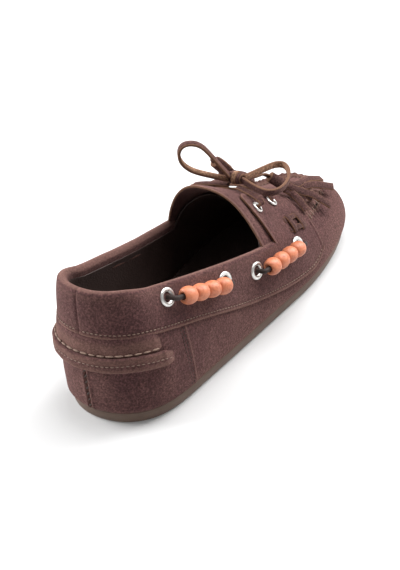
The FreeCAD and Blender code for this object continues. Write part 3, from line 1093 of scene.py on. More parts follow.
def join(name: str, objs: Sequence[bpy.types.Object]) -> bpy.types.Object:
    """Join several meshes into one piece, keeping their materials.

    Args:
        name: name to give.
        objs: mesh objects, which are used up.

    Returns:
        The joined object.
    """
    bm = bmesh.new()
    mats: list[bpy.types.Material] = []
    for obj in objs:
        start = len(bm.faces)
        bm.from_mesh(obj.data)
        bm.faces.ensure_lookup_table()
        table = []
        for mat in obj.data.materials:
            if mat not in mats:
                mats.append(mat)
            table.append(mats.index(mat))
        for face in bm.faces[start:]:
            face.material_index = table[min(face.material_index, len(table) - 1)]
    mesh = bpy.data.meshes.new(name)
    bm.to_mesh(mesh)
    bm.free()
    for mat in mats:
        mesh.materials.append(mat)
    for obj in objs:
        bpy.data.objects.remove(obj)
    out = bpy.data.objects.new(name, mesh)
    bpy.context.scene.collection.objects.link(out)
    return out


# ------------------------------------------------------------------ stitches
class StitchWork:
    """Rows of thread laid by one Geometry Nodes tree."""

    def __init__(self) -> None:
        """Build the node tree once."""
        tree = bpy.data.node_groups.new("stitch_row", "GeometryNodeTree")
        face = tree.interface
        face.new_socket("Geometry", in_out="INPUT", socket_type="NodeSocketGeometry")
        self.ids = {}
        for label, kind, value in (("Length", "NodeSocketFloat", 0.003),
                                   ("Thickness", "NodeSocketFloat", 0.0006),
                                   ("Unevenness", "NodeSocketFloat", 0.12),
                                   ("Seed", "NodeSocketInt", 1),
                                   ("Thread", "NodeSocketMaterial", None)):
            socket = face.new_socket(label, in_out="INPUT", socket_type=kind)
            if value is not None:
                socket.default_value = value
            self.ids[label] = socket.identifier
        face.new_socket("Geometry", in_out="OUTPUT", socket_type="NodeSocketGeometry")
        nodes, links = tree.nodes, tree.links
        start, end = nodes.new("NodeGroupInput"), nodes.new("NodeGroupOutput")
        points = nodes.new("GeometryNodeMeshToPoints")
        ball = nodes.new("GeometryNodeMeshUVSphere")
        ball.inputs["Segments"].default_value = 8
        ball.inputs["Rings"].default_value = 6
        ball.inputs["Radius"].default_value = 0.5
        size = nodes.new("ShaderNodeCombineXYZ")
        stretch = nodes.new("GeometryNodeTransform")
        lay = nodes.new("GeometryNodeInputNamedAttribute")
        lay.data_type = "FLOAT_VECTOR"
        lay.inputs["Name"].default_value = "lay"
        turn = nodes.new("FunctionNodeAlignEulerToVector")
        turn.axis = "Z"
        jitter = nodes.new("FunctionNodeRandomValue")
        low = nodes.new("ShaderNodeMath")
        low.operation = "SUBTRACT"
        low.inputs[0].default_value = 1.0
        high = nodes.new("ShaderNodeMath")
        high.operation = "ADD"
        high.inputs[0].default_value = 1.0
        place = nodes.new("GeometryNodeInstanceOnPoints")
        real = nodes.new("GeometryNodeRealizeInstances")
        smooth = nodes.new("GeometryNodeSetShadeSmooth")
        paint = nodes.new("GeometryNodeSetMaterial")
        for a, b in ((start.outputs["Geometry"], points.inputs["Mesh"]),
                     (start.outputs["Thickness"], size.inputs["X"]),
                     (start.outputs["Thickness"], size.inputs["Y"]),
                     (start.outputs["Length"], size.inputs["Z"]),
                     (ball.outputs["Mesh"], stretch.inputs["Geometry"]),
                     (size.outputs["Vector"], stretch.inputs["Scale"]),
                     (lay.outputs["Attribute"], turn.inputs["Vector"]),
                     (start.outputs["Unevenness"], low.inputs[1]),
                     (start.outputs["Unevenness"], high.inputs[1]),
                     (low.outputs[0], jitter.inputs[2]),
                     (high.outputs[0], jitter.inputs[3]),
                     (start.outputs["Seed"], jitter.inputs["Seed"]),
                     (points.outputs["Points"], place.inputs["Points"]),
                     (stretch.outputs["Geometry"], place.inputs["Instance"]),
                     (turn.outputs["Rotation"], place.inputs["Rotation"]),
                     (jitter.outputs[1], place.inputs["Scale"]),
                     (place.outputs["Instances"], real.inputs["Geometry"]),
                     (real.outputs["Geometry"], smooth.inputs["Geometry"]),
                     (smooth.outputs["Geometry"], paint.inputs["Geometry"]),
                     (start.outputs["Thread"], paint.inputs["Material"]),
                     (paint.outputs["Geometry"], end.inputs["Geometry"])):
            links.new(a, b)
        self.tree = tree

    def lay(self, name: str, spots: Array, ways: Array, length: float, thick: float,
            thread: Finish = Finish.THREAD, uneven: float = 0.12, seed: int = 1) -> bpy.types.Object:
        """Lay one stitch at each spot.

        Args:
            name: piece name.
            spots: stitch centres, in mm.
            ways: direction of each stitch.
            length: stitch length, in mm.
            thick: thread thickness, in mm.
            thread: finish of the thread.
            uneven: random share of the size.
            seed: seed of the unevenness.

        Returns:
            The stitches as a plain mesh.
        """
        mesh = bpy.data.meshes.new(name)
        mesh.from_pydata((spots * MM).tolist(), [], [])
        layer = mesh.attributes.new("lay", "FLOAT_VECTOR", "POINT")
        layer.data.foreach_set("vector", np.asarray(ways, float).ravel())
        obj = bpy.data.objects.new(name, mesh)
        bpy.context.scene.collection.objects.link(obj)
        mod = obj.modifiers.new("stitches", "NODES")
        mod.node_group = self.tree
        for label, value in (("Length", length * MM), ("Thickness", thick * MM),
                             ("Unevenness", uneven), ("Seed", seed), ("Thread", thread.mat)):
            mod[self.ids[label]] = value
        return apply_modifiers(obj)

    def row(self, name: str, line: Array, pitch: float, length: float, thick: float,
            across: Array | None = None, **more) -> bpy.types.Object:
        """Evenly spaced stitches along a line, or across it where a direction is given.

        Args:
            name: piece name.
            line: line to follow, in mm.
            pitch: spacing, in mm.
            length: stitch length, in mm.
            thick: thread thickness, in mm.
            across: direction of each stitch, where it isn't the line's own.
            more: other settings of lay.

        Returns:
            The stitches as a plain mesh.
        """
        gaps = np.linalg.norm(np.diff(line, axis=0), axis=1)
        run = np.concatenate([[0], np.cumsum(gaps)])
        at = np.arange(pitch / 2, run[-1], pitch)
        spots = np.stack([np.interp(at, run, line[:, k]) for k in range(3)], 1)
        if across is None:
            ahead = np.stack([np.interp(at + 0.2, run, line[:, k]) for k in range(3)], 1)
            behind = np.stack([np.interp(at - 0.2, run, line[:, k]) for k in range(3)], 1)
            ways = ahead - behind
        else:
            ways = np.stack([np.interp(at, run, across[:, k]) for k in range(3)], 1)
        return self.lay(name, spots, ways, length, thick, **more)


def surface_line(us: Array, zs: Array | None, d: float, phis: Array | None = None) -> Array:
    """Line on the last at heights zs or angles phis, offset by d.

    Args:
        us: outline parameters.
        zs: heights, in mm.
        d: offset outwards, in mm.
        phis: section angles, instead of heights.

    Returns:
        Points, in mm.
    """
    if phis is None:
        phis = LAST.angle(us, zs)
    return LAST.point(us, phis, d)


# ------------------------------------------------------------------ sole
@dataclass
class Sole:
    """Cup outsole with a soft-edged side wall, and the footbed inside."""

    inset: float = 3.0
    spine: float = 88.0
    bed_inset: float = 8.0
    bed_high: float = 2.2
    columns: int = 300

    def outsole(self) -> bpy.types.Object:
        """Side wall with a rolled rim and a bead line near the top, over a plain tread.

        Returns:
            The outsole object.
        """
        u = np.linspace(0, 1, self.columns, endpoint=False)
        x, y, nx, ny = LAST.outline(u)
        rise = LAST.base(y) - LAST.sole
        section = [(-3.4, 7.85), (-2.2, 7.95), (0.9, 7.95), (1.25, 7.7), (1.3, 7.2), (1.05, 6.9),
                   (1.15, 6.5), (1.05, 5.0), (0.75, 3.2), (0.3, 1.6), (-0.3, 0.5), (-1.2, 0.05),
                   (-3.0, 0.0), (-6.0, 0.0)]
        rows = []
        for out, z in section:
            off = -self.inset + out
            rows.append(np.stack([x + nx * off, y + ny * off, rise + z], 1))
        spine = np.clip(y, -self.spine, self.spine)
        for share in (0.75, 0.45, 0.15):
            tread_x = (x - nx * (self.inset + 6.0)) * share
            tread_y = spine + (y - spine) * share
            rows.append(np.stack([tread_x, tread_y, LAST.base(tread_y) - LAST.sole], 1))
        pts = np.array(rows).transpose(1, 0, 2)
        cols = pts.shape[1]
        faces = [tuple(reversed(f)) for f in grid_faces(self.columns, cols, wrap=True)]
        obj = make_object("outsole_rubber", pts, faces, (Finish.RUBBER,))
        return close_up(obj)

    def footbed(self) -> bpy.types.Object:
        """Leather sock with a soft rounded border.

        Returns:
            The footbed object.
        """
        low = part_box("sock_liner")[0]
        u = np.linspace(0, 1, 200, endpoint=False)
        x, y, nx, ny = LAST.outline(u)
        spine = np.clip(y, -self.spine - 2, self.spine + 2)
        rise = LAST.base(y) - LAST.sole
        z0 = low[2] / MM
        rows = []
        for off, z in ((-5.9, 0.0), (-5.75, 1.1), (-5.9, 1.8), (-6.5, 2.15),
                       (-self.bed_inset, self.bed_high)):
            rows.append(np.stack([x + nx * off, y + ny * off, rise + z0 + z], 1))
        for share in (0.8, 0.55, 0.3, 0.1):
            bed_x = (x - nx * self.bed_inset) * share
            bed_y = spine + (y - ny * self.bed_inset - spine) * share
            bed_z = LAST.base(bed_y) - LAST.sole + z0 + self.bed_high
            rows.append(np.stack([bed_x, bed_y, bed_z], 1))
        pts = np.array(rows).transpose(1, 0, 2)
        obj = make_object("footbed", pts, grid_faces(200, pts.shape[1], wrap=True), (Finish.SOCK,))
        return close_up(obj)

    def build(self) -> None:
        """Make the outsole and the footbed."""
        settle(self.outsole(), ROOT, "sole_rubber", "outsole")
        settle(self.footbed(), ROOT, "lining_leather", "sock_liner")


# ------------------------------------------------------------------ upper
@dataclass
class Upper:
    """The suede panels, from the lower wall to the lace facings and the plug."""

    stitches: StitchWork
    band_end: float = 15.0
    saddle_end: float = 62.0
    facing_x: float = 11.0
    counter_y: float = -78.0
    roll: float = 2.9
    plug_border: float = 5.4
    tongue_thick: float = 1.4

    def wall_top(self, u: Array) -> Array:
        """Height of the lower wall's upper edge, under the band and up to the plug.

        Args:
            u: outline parameter, 0 to 1.

        Returns:
            Heights, in mm.
        """
        y = LAST.outline(u)[1]
        stations = ((-126, 63.5), (-94, 57), (-58, 45.5), (-19, 32), (12, 23.5), (45, 19.5),
                    (54, 22), (62, 37.4), (82, 37.6), (105, 38.5), (126, 38))
        return LAST.along(stations, y)

    def lower_wall(self) -> bpy.types.Object:
        """Wall from one counter edge round the toe to the other, gathered at the plug.

        Returns:
            The wall object.
        """
        u0, u1 = LAST.u_at(self.counter_y - 2, 1), LAST.u_at(self.counter_y - 2, -1)
        us = np.linspace(float(u0), float(u1), 520)
        y = LAST.outline(us)[1]
        lows = np.full(us.shape, 0.004)
        highs = LAST.angle(us, self.wall_top(us))
        run = np.arange(len(us)) * 1.15
        toe = np.clip((y - 60) / 8, 0, 1)

        def lift(up: Array, down: Array) -> Array:
            """How far the panel stands off the last.

            Args:
                up: distances from the low edge, in mm.
                down: distances from the high edge, in mm.

            Returns:
                Offsets from the last, in mm.
            """
            near = hill(down, 0, 5.5)
            pleat = np.sin(run * 2 * math.pi / 4.6 + 0.9 * np.sin(run * 0.31))[:, None]
            fold = 0.9 * hill(down, 0.9, 1.1)
            tuck = -0.9 * hill(up, -0.4, 1.6)
            return toe[:, None] * (fold + 0.42 * pleat * near) + tuck
        pts, up, down = panel_grid(us, lows, highs, eased(44, 0.7), lift)
        pts += (LAST.normal(us[:, None], np.full((len(us), 44), 0.5))
                * wobble(pts, 0.35, 0.05)[..., None]) * np.clip(up / 6, 0, 1)[..., None]
        wear = (hill(down, 0, 1.6) * toe[:, None] * 0.7
                + 0.25 * hill(up, 0, 3.0))
        obj = make_object("lower_wall", pts, grid_faces(*pts.shape[:2]),
                          (Finish.SUEDE, Finish.EDGE), wear)
        return thicken(obj, SUEDE)

    def counters(self) -> bpy.types.Object:
        """Two rear quarters meeting in the puckered centre-back seam.

        Returns:
            The quarters as one object.
        """
        right = LAST.u_at(self.counter_y, 1)
        left = LAST.u_at(self.counter_y, -1) - 1
        us = np.concatenate([np.linspace(float(left), -0.012, 90),
                             np.linspace(-0.011, 0.011, 41),
                             np.linspace(0.012, float(right), 90)])
        lows = np.full(us.shape, 0.004)
        highs = LAST.angle(us, self.wall_top(us) - 1.0)
        mm = us * PERIMETER
        edge = np.minimum(us - us[0], us[-1] - us) * PERIMETER

        def lift(up: Array, down: Array) -> Array:
            """How far the panel stands off the last.

            Args:
                up: distances from the low edge, in mm.
                down: distances from the high edge, in mm.

            Returns:
                Offsets from the last, in mm.
            """
            groove = -1.1 * hill(mm, 0, 0.8) + 0.45 * hill(np.abs(mm), 2.2, 1.3)
            rim = 0.55 + 0.25 * hill(edge, 1.0, 0.9) - 0.3 * (
                hill(edge, 2.4, 0.5) + hill(edge, 4.6, 0.5))
            pucker = 0.25 * np.sin(up * 2 * math.pi / 4.2) * np.exp(-(np.abs(mm) / 3.5))[:, None]
            tuck = -1.2 * hill(up, -0.4, 1.8)
            return (groove + rim)[:, None] + pucker + tuck
        pts, up, _ = panel_grid(us, lows, highs, eased(48, 0.5), lift)
        pts += (LAST.normal(us[:, None], np.full((len(us), 48), 0.4))
                * wobble(pts, 0.3, 0.06, 3.0)[..., None]) * np.clip(up / 6, 0, 1)[..., None]
        wear = (0.8 * hill(edge, 0, 0.8) + 0.5 * hill(mm, 0, 1.6))[:, None]
        wear = np.broadcast_to(wear, up.shape)
        obj = make_object("heel_quarters", pts, grid_faces(*pts.shape[:2]),
                          (Finish.SUEDE, Finish.EDGE), wear)
        return thicken(obj, SUEDE)

    def band(self, side: int) -> bpy.types.Object:
        """Band, rolled padded collar and lace facing of one side, as one piece of suede.

        Args:
            side: +1 for the inner side, -1 for the outer side.

        Returns:
            The band object.
        """
        end = float(LAST.u_at(self.band_end, side))
        start = 0.0 if side > 0 else 1.0
        us = np.linspace(start, end, 190)
        if side < 0:
            us = us[::-1]
        seam = LAST.angle(us, LAST.seam_z(us))
        top = LAST.angle(us, LAST.top_z(us) - 2.4)
        steps = eased(40, 0.75)

        def edge_lift(up: Array) -> Array:
            """Offset of the band over its folded lower edge.

            Args:
                up: distances from the low edge, in mm.

            Returns:
                Offsets from the last, in mm.
            """
            return (BAND_OUT + 0.35 * hill(up, 0.8, 0.8)
                    - 0.4 * hill(up, 2.5, 0.5))

        def lift(up: Array, down: Array) -> Array:
            """How far the panel stands off the last.

            Args:
                up: distances from the low edge, in mm.
                down: distances from the high edge, in mm.

            Returns:
                Offsets from the last, in mm.
            """
            back = hill(np.minimum(us, 1 - us)[:, None] * PERIMETER, 0, 1.0)
            puff = 0.6 * hill(down, 0, 9.0) + 0.25 * hill(up, 14, 9)
            return edge_lift(up) + puff - 0.5 * back
        pts, up, down = panel_grid(us, seam, top, steps, lift)
        normals = LAST.normal(us[:, None], np.broadcast_to(top[:, None], (len(us), 40)))
        pts = pts + normals * wobble(pts, 0.4, 0.045, 7.0)[..., None]
        wear = 0.75 * hill(up, 0, 1.3) + 0.15 * hill(down, 0, 3.0)
        # the roll over the foam and down inside
        ang = np.linspace(0, math.pi, 11)[1:]
        n = LAST.normal(us, top)
        p0 = pts[:, -1]
        upward = np.cross(n, np.gradient(p0, axis=0))
        upward /= np.linalg.norm(upward, axis=1, keepdims=True)
        upward *= np.sign(upward[:, 2:3])
        r = self.roll
        roll = [p0 + upward * r * math.sin(a) * 0.95 - n * r * (1 - math.cos(a)) for a in ang]
        inner = [roll[-1] - upward * s - n * 0.1 * s for s in (1.5, 3.2, 5.0, 6.6, 7.4)]
        extra = np.array(roll + inner).transpose(1, 0, 2)
        pts = np.concatenate([pts, extra], 1)
        more = np.zeros(extra.shape[:2])
        more[:, 2:8] = 0.42
        more[:, -2:] = 0.6
        wear = np.concatenate([wear, more], 1)
        band = make_object(f"band_{side}", pts, grid_faces(*pts.shape[:2]),
                           (Finish.SUEDE, Finish.EDGE), wear)
        facing = self.facing(side, steps, edge_lift)
        obj = join(f"upper_band_{'right' if side > 0 else 'left'}", [band, facing])
        merge(obj, 6e-4 * 0.02)
        return thicken(obj, SUEDE)

    def facing(self, side: int, steps: Array, edge_lift: Callable) -> bpy.types.Object:
        """Front half of one side: over the instep up to the lace gap.

        Args:
            side: +1 for the inner side, -1 for the outer side.
            steps: fractions of the way up the band.
            edge_lift: offset of the band near its lower edge.

        Returns:
            The facing, not yet thickened.
        """
        cols, rows = 84, 40
        low_rows = len(steps)
        a = np.linspace(0, 1, cols)
        grid = np.zeros((cols, low_rows + rows, 3))
        wear = np.zeros((cols, low_rows + rows))
        b_high = np.linspace(0, 1, rows + 1)[1:]
        for j in range(low_rows + rows):
            if j < low_rows:
                y0 = self.band_end
                share = 0.0
            else:
                share = b_high[j - low_rows]
                corner_back = 1.5 * max(0, share - 0.75) * 4 * share
                y0 = self.band_end - 4.6 * min(1.0, share * 1.6) + corner_back
            y1 = self.saddle_end - 1.5 * share + 1.2 * math.sin(share * math.pi)
            y = y0 + (y1 - y0) * a
            u = LAST.u_at(y, side)
            seam = LAST.angle(u, LAST.seam_z(u))
            top = LAST.angle(u, LAST.along(LAST.topline, np.full(u.shape, self.band_end)) - 2.4
                             - 0.28 * (y - self.band_end))
            corner = 7.0 * np.exp(-((y - y0) / 4.0)) * 0.8
            gap = LAST.angle_x(u, self.facing_x + corner)
            phi = seam + (top - seam) * steps[j] if j < low_rows else top + (gap - top) * share
            flat = LAST.point(u, phi, 0.0)
            up = np.linalg.norm(flat - LAST.point(u, seam, 0.0), axis=-1)
            rear = (y - y0) if j >= low_rows else np.full(y.shape, 99.0)
            side_gap = np.linalg.norm(flat - LAST.point(u, gap, 0.0), axis=-1)
            front = y1 - y
            free = np.minimum(np.minimum(rear, side_gap), 50)
            d = (edge_lift(up) + 0.30 * hill(free, 0.9, 0.9)
                 - 0.32 * hill(free, 2.6, 0.5)
                 + 0.25 * hill(front, 0.9, 0.9)
                 - 0.3 * hill(front, 2.6, 0.5))
            flap = np.clip((share - 0.1) / 0.4, 0, 1)
            d = d + 0.5 * flap * hill(free, 0, 5.0)
            near_end = hill(y, self.band_end, 9)
            d = d + 0.6 * hill(flat[:, 2], 50, 9.0) * near_end
            pts = LAST.point(u, phi, d)
            pts = pts + LAST.normal(u, phi) * wobble(pts, 0.4, 0.045, 7.0)[:, None]
            grid[:, j] = pts
            wear[:, j] = (0.75 * hill(up, 0, 1.3) + 0.8 * hill(free, 0, 0.9)
                          + 0.5 * hill(front, 0, 0.9))
        if side < 0:
            grid, wear = grid[::-1], wear[::-1]
        return make_object(f"facing_{side}", grid, grid_faces(*grid.shape[:2]),
                           (Finish.SUEDE, Finish.EDGE), wear)

    def plug(self) -> bpy.types.Object:
        """Plug over the toes with a gathered raised border.

        Returns:
            The plug object.
        """
        corner = 0.432
        cols, rows = 120, 90

        def edge(u: Array) -> Array:
            """Plan points along the upper edge of the wall.

            Args:
                u: outline parameters.

            Returns:
                Plan points, in mm.
            """
            return LAST.point(u, LAST.angle(u, LAST.plug) + 0.012, 0.0)[..., :2]
        a, b = np.linspace(0, 1, cols), np.linspace(0, 1, rows)
        sides = []
        for side in (1, -1):
            start = float(LAST.u_at(54.0, side))
            stop = corner if side > 0 else 1 - corner
            sides.append(edge(start + (stop - start) * b))
        right, left = sides
        front = edge(corner + (1 - 2 * corner) * a)
        A, B = a[:, None, None], b[None, :, None]
        rear = right[0] * (1 - A) + left[0] * A
        line = right[None] * (1 - A) + left[None] * A + rear * (1 - B) + front[:, None] * B
        corners = (1 - B) * rear + B * (right[-1] * (1 - A) + left[-1] * A)
        plan = line - corners
        z = LAST.height(plan[..., 0], plan[..., 1], 0.0)
        rim = np.concatenate([right[::-1], left, front], 0)
        near = np.min(np.linalg.norm(plan[:, :, None] - rim[None, None, ::3], axis=-1), -1)
        around = np.arctan2(plan[..., 0], plan[..., 1] - 70) * 40
        border = 1 / (1 + np.exp((near - self.plug_border) / 0.22))
        z = z + 1.1 * border - 0.7 * hill(near, 0, 0.9)
        z = z + 0.4 * np.sin(around * 2 * math.pi / 4.6) * hill(near, 2.4, 2.2)
        z = z - 0.35 * hill(near, 6.4, 0.6)
        outer = 1 / (1 + np.exp((plan[..., 0] + 8) / 4))
        z = z + 3.6 * outer * hill(near, 2.7, 1.7)
        pts = np.concatenate([plan, z[..., None]], -1)
        pts[..., 2] += wobble(pts, 0.5, 0.05, 11.0)
        wear = 0.3 * border + 0.6 * hill(near, 5.0, 0.7)
        faces = grid_faces(cols, rows)
        obj = make_object("plug_leather", pts, [tuple(reversed(f)) for f in faces],
                          (Finish.SUEDE, Finish.EDGE), wear)
        merge(obj, 1e-6)
        up = sum(p.normal.z for p in obj.data.polygons)
        if up < 0:
            obj.data.flip_normals()
        return thicken(obj, SUEDE)

    def tongue(self) -> bpy.types.Object:
        """Tongue across the instep with a cut rear edge.

        Returns:
            The tongue object.
        """
        cols, rows = 60, 110
        t = np.linspace(0, 1, rows)
        side = np.where(t <= 0.5, 1, -1)
        part = np.abs(1 - 2 * t)
        grid = np.zeros((cols, rows, 3))
        wear = np.zeros((cols, rows))
        for i, a in enumerate(eased(cols, 0.5)):
            y0 = -1.0 + 5.0 * part * part
            y = y0 + (53.0 - y0) * a
            for s in (1, -1):
                pick = side == s
                u = LAST.u_at(y[pick], s)
                low = LAST.angle_x(u, 38.0 - 0.2 * np.maximum(0, y[pick] - 4))
                phi = math.pi / 2 - (math.pi / 2 - low) * part[pick]
                back = y[pick] - y0[pick]
                d = (-0.1 + 0.3 * hill(back, 0.9, 0.9)
                     - 0.3 * hill(back, 2.6, 0.5))
                grid[i, pick] = LAST.point(u, phi, d)
                wear[i, pick] = 0.9 * hill(back, 0, 1.0)
        grid[..., 2] += wobble(grid, 0.5, 0.04, 5.0)
        obj = make_object("tongue_leather", grid, grid_faces(cols, rows),
                          (Finish.SUEDE, Finish.EDGE), wear)
        up = sum(p.normal.z for p in obj.data.polygons)
        if up < 0:
            obj.data.flip_normals()
        return thicken(obj, self.tongue_thick)

    def seams(self) -> list[bpy.types.Object]:
        """Every row of stitching on the panels.

        Returns:
            One object for each row.
        """
        out = []
        for side in (1, -1):
            tag = "right" if side > 0 else "left"
            u0, u1 = (0.004, float(LAST.u_at(60.0, side))) if side > 0 else (
                0.996, float(LAST.u_at(60.0, side)))
            us = np.linspace(u0, u1, 300)
            z = LAST.seam_z(us)
            out.append(self.stitches.row(
                f"band_stitch_{tag}", surface_line(us, z + 2.5, BAND_OUT + 0.1), 2.6, 1.8, 0.62,
                seed=11 + side))
            u_c = float(LAST.u_at(self.counter_y - 2.4, side))
            for k, back in enumerate((2.4, 4.6)):
                u_c = float(LAST.u_at(self.counter_y - back, side))
                top = float(LAST.seam_z(u_c))
                zs = np.linspace(10.5, top - 1.0, 60)
                out.append(self.stitches.row(
                    f"counter_stitch_{k}_{tag}",
                    surface_line(np.full(60, u_c), zs, 0.5), 2.4, 1.7, 0.7,
                    thread=Finish.DARK_THREAD, seed=21 + k))
        # toe whip stitches over the plug's raised border
        us = np.linspace(float(LAST.u_at(63.0, 1)), float(LAST.u_at(63.0, -1)), 200)
        low = surface_line(us, np.full(us.shape, LAST.plug - 1.2), 0.8)
        high = surface_line(us, None, 1.1, LAST.angle(us, LAST.plug) + 0.10)
        out.append(self.stitches.row("toe_whip", (low + high) / 2, 4.6, 4.6, 0.75,
                                     across=high - low, seed=31))
        inner = surface_line(us, None, 0.25, LAST.angle(us, LAST.plug) + 0.21)
        out.append(self.stitches.row("plug_stitch", inner, 2.6, 1.7, 0.55, seed=32))
        return out

    def build(self) -> None:
        """Make every panel and its seams."""
        settle(self.lower_wall(), ROOT, "suede", "wall_panel")
        settle(self.counters(), ROOT, "suede", "heel_counter_right", "heel_counter_left")
        settle(self.band(1), ROOT, "suede", "collar_band_right", "facing_right", "topline_edge_right")
        settle(self.band(-1), ROOT, "suede", "collar_band_left", "facing_left", "topline_edge_left")
        settle(self.plug(), ROOT, "suede", "plug")
        settle(self.tongue(), ROOT, "suede", "tongue")
        for obj in self.seams():
            settle(obj, ROOT, "suede")


# ------------------------------------------------------------------ heel trim
@dataclass
class HeelTrim:
    """Flat strip and folded lip round the heel, hand-stitched with thick thread."""

    stitches: StitchWork

    def band_of(self, name: str, y_end: float, section: Sequence, taper: float,
                tilt: float = 0.0) -> bpy.types.Object:
        """Band with a constant section round the heel.

        Args:
            name: piece name.
            y_end: length where both ends lie.
            section: (height, offset) points of the closed section.
            taper: length in mm over which the ends thin out.
            tilt: fall in mm towards the ends.

        Returns:
            The band object.
        """
        right, left = float(LAST.u_at(y_end, 1)), float(LAST.u_at(y_end, -1)) - 1
        us = np.linspace(left, right, 220)
        edge = np.minimum(us - left, right - us) * PERIMETER
        thin = np.clip(edge / taper, 0.12, 1) ** 0.6
        y = LAST.outline(us)[1]
        fall = np.clip((y + 120) / 27, 0, 1) ** 1.5 * tilt
        zs = np.array([s[0] for s in section])
        ds = np.array([s[1] for s in section])
        mid = zs.mean()
        z = mid + (zs - mid)[None, :] * (0.55 + 0.45 * thin[:, None]) - fall[:, None]
        phi = LAST.angle(us[:, None], z)
        d = 0.1 + (ds - 0.1)[None, :] * thin[:, None]
        pts = LAST.point(us[:, None], phi, d)
        pts += (LAST.normal(us[:, None], phi) * wobble(pts, 0.45, 0.12, 2.0)[..., None])
        wear = np.broadcast_to((ds > ds.max() - 0.7).astype(float) * 0.45, pts.shape[:2])
        obj = make_object(name, pts, loft_faces(*pts.shape[:2]), (Finish.SUEDE, Finish.EDGE), wear)
        merge(obj, 1e-7, outward=True)
        sub = obj.modifiers.new("soft", "SUBSURF")
        sub.levels = sub.render_levels = 1
        return apply_modifiers(obj)

    def build(self) -> None:
        """Make the strip, the lip and their stitches."""
        strip = self.band_of("heel_strip_leather", -99, (
            (46.2, 0.7), (46.6, 2.1), (48.4, 2.6), (50.4, 2.2), (54, 2.1), (57.6, 1.9), (59.6, 1.4),
            (60.0, 0.6), (53, 0.4)), 6.0, 4.0)
        settle(strip, ROOT, "suede", "heel_strip")
        lip = self.band_of("heel_lip_leather", -92.5, (
            (38.6, 0.6), (37.9, 2.6), (38.6, 4.6), (40.4, 5.1), (42.4, 4.3), (44.0, 4.5), (46.2, 4.9),
            (47.6, 4.2), (47.9, 2.6), (47.4, 1.0), (43, 0.4)), 9.0, 5.5)
        settle(lip, ROOT, "suede", "heel_lip")
        rows = []
        for name, y_end, z, d, pitch, length, thick, fall in (
                ("heel_running_stitch", -101, 48.9, 2.9, 5.3, 4.6, 1.15, 4.0),
                ("lip_stitch", -96, 42.9, 4.6, 2.9, 2.0, 0.6, 5.5)):
            us = np.linspace(float(LAST.u_at(y_end, -1)) - 1, float(LAST.u_at(y_end, 1)), 200)
            y = LAST.outline(us)[1]
            zs = z - np.clip((y + 120) / 27, 0, 1) ** 1.5 * fall
            rows.append(self.stitches.row(name, surface_line(us, zs, d), pitch, length, thick,
                                          seed=41))
        # centre-back hand stitches
        count = 7
        zs = np.linspace(12, 36, count)
        spots = surface_line(np.full(count, 0.0), zs, 0.4)
        ways = np.tile(np.array([[1.0, 0, 1.1]]), (count, 1))
        rows.append(self.stitches.lay("back_seam_stitch", spots, ways, 4.6, 1.0,
                                      thread=Finish.DARK_THREAD, seed=43))
        for obj in rows:
            settle(obj, ROOT, "suede")


# ------------------------------------------------------------------ lining
@dataclass
class Lining:
    """Smooth leather inside the shoe."""

    depth: float = 3.6
    low_edge: float = 13.5
    toe_angle: float = 1.30
    leather: float = 0.9

    def wall(self) -> bpy.types.Object:
        """Lining of the quarters and the forefoot, in one sheet round the shoe.

        Returns:
            The lining object.
        """
        us = np.linspace(0, 1, 261)
        y = LAST.outline(us)[1]
        top = np.where(y < 14, LAST.top_z(us) - 3.0, 0)
        low = LAST.angle(us, self.low_edge + LAST.base(y) - LAST.sole, -self.depth)
        high = np.where(y < 14, LAST.angle(us, top), self.toe_angle)
        ease = np.clip((y - 4) / 14, 0, 1)
        blend = LAST.angle(us, LAST.top_z(us) - 3.0) * (1 - ease) + self.toe_angle * ease
        high = np.where((y > 4) & (y < 18), blend, high)
        pts, _, _ = panel_grid(us, low, high, np.linspace(0, 1, 22),
                               lambda up, down: np.full_like(up, -self.depth))
        obj = make_object("lining_leather", pts, grid_faces(*pts.shape[:2]), (Finish.LINING,))
        merge(obj, 1e-6)
        return thicken(obj, self.leather, rim=0)

    def build(self) -> None:
        """Make the lining."""
        settle(self.wall(), ROOT, "lining_leather", "quarter_lining_right", "quarter_lining_left",
               "vamp_lining", "toe_lining", "plug_lining")


# ------------------------------------------------------------------ eyelets and beads
BEAD_EYES = ((-84.5, 69.5), (-39.0, 54.9), (-11.0, 46.0), (36.0, 36.8))
LACE_EYES = ((18.4, 69.0), (41.2, 59.7))


@dataclass
class Eyelets:
    """Rolled metal eyelets."""

    segments: int = 40

    def ring(self, at: Array, n: Array, outer: float, bore: float) -> bpy.types.Object:
        """One eyelet: a half-round flange rolled into its barrel.

        Args:
            at: centre, in mm.
            n: outward direction.
            outer: outer radius, in mm.
            bore: radius of the hole, in mm.

        Returns:
            The eyelet object.
        """
        mid, half = (outer + bore) / 2, (outer - bore) / 2
        section = [(bore - 0.15, -2.2), (bore - 0.1, 0.2)]
        for k in range(9):
            a = math.pi * (1 - k / 8)
            section.append((mid + half * math.cos(a), 0.25 + 0.95 * math.sin(a)))
        section += [(outer - 0.1, -0.1), (bore + 0.4, -0.1), (bore + 0.3, -2.2)]
        along = np.array([0, 1.0, 0])
        return turned("ring", at, n, along, section, self.segments, Finish.METAL)

    def build(self) -> None:
        """Make the bead eyelets of the inner side and the lace eyelets of both."""
        for kind, side, spots, outer, bore in (
                ("bead", 1, BEAD_EYES, 5.5, 3.0), ("lace", 1, LACE_EYES, 3.9, 2.3),
                ("lace", -1, LACE_EYES, 3.9, 2.3)):
            tag = "right" if side > 0 else "left"
            rings = []
            for y, z in spots:
                at, n = LAST.on_band(y, z, side, BAND_OUT + (0.4 if side > 0 else 0.1))
                rings.append(self.ring(at, n, outer, bore))
            settle(join(f"{kind}_eyelet_rings_{tag}", rings), ROOT, "eyelet_metal",
                   f"{kind}_eyelets_{tag}")


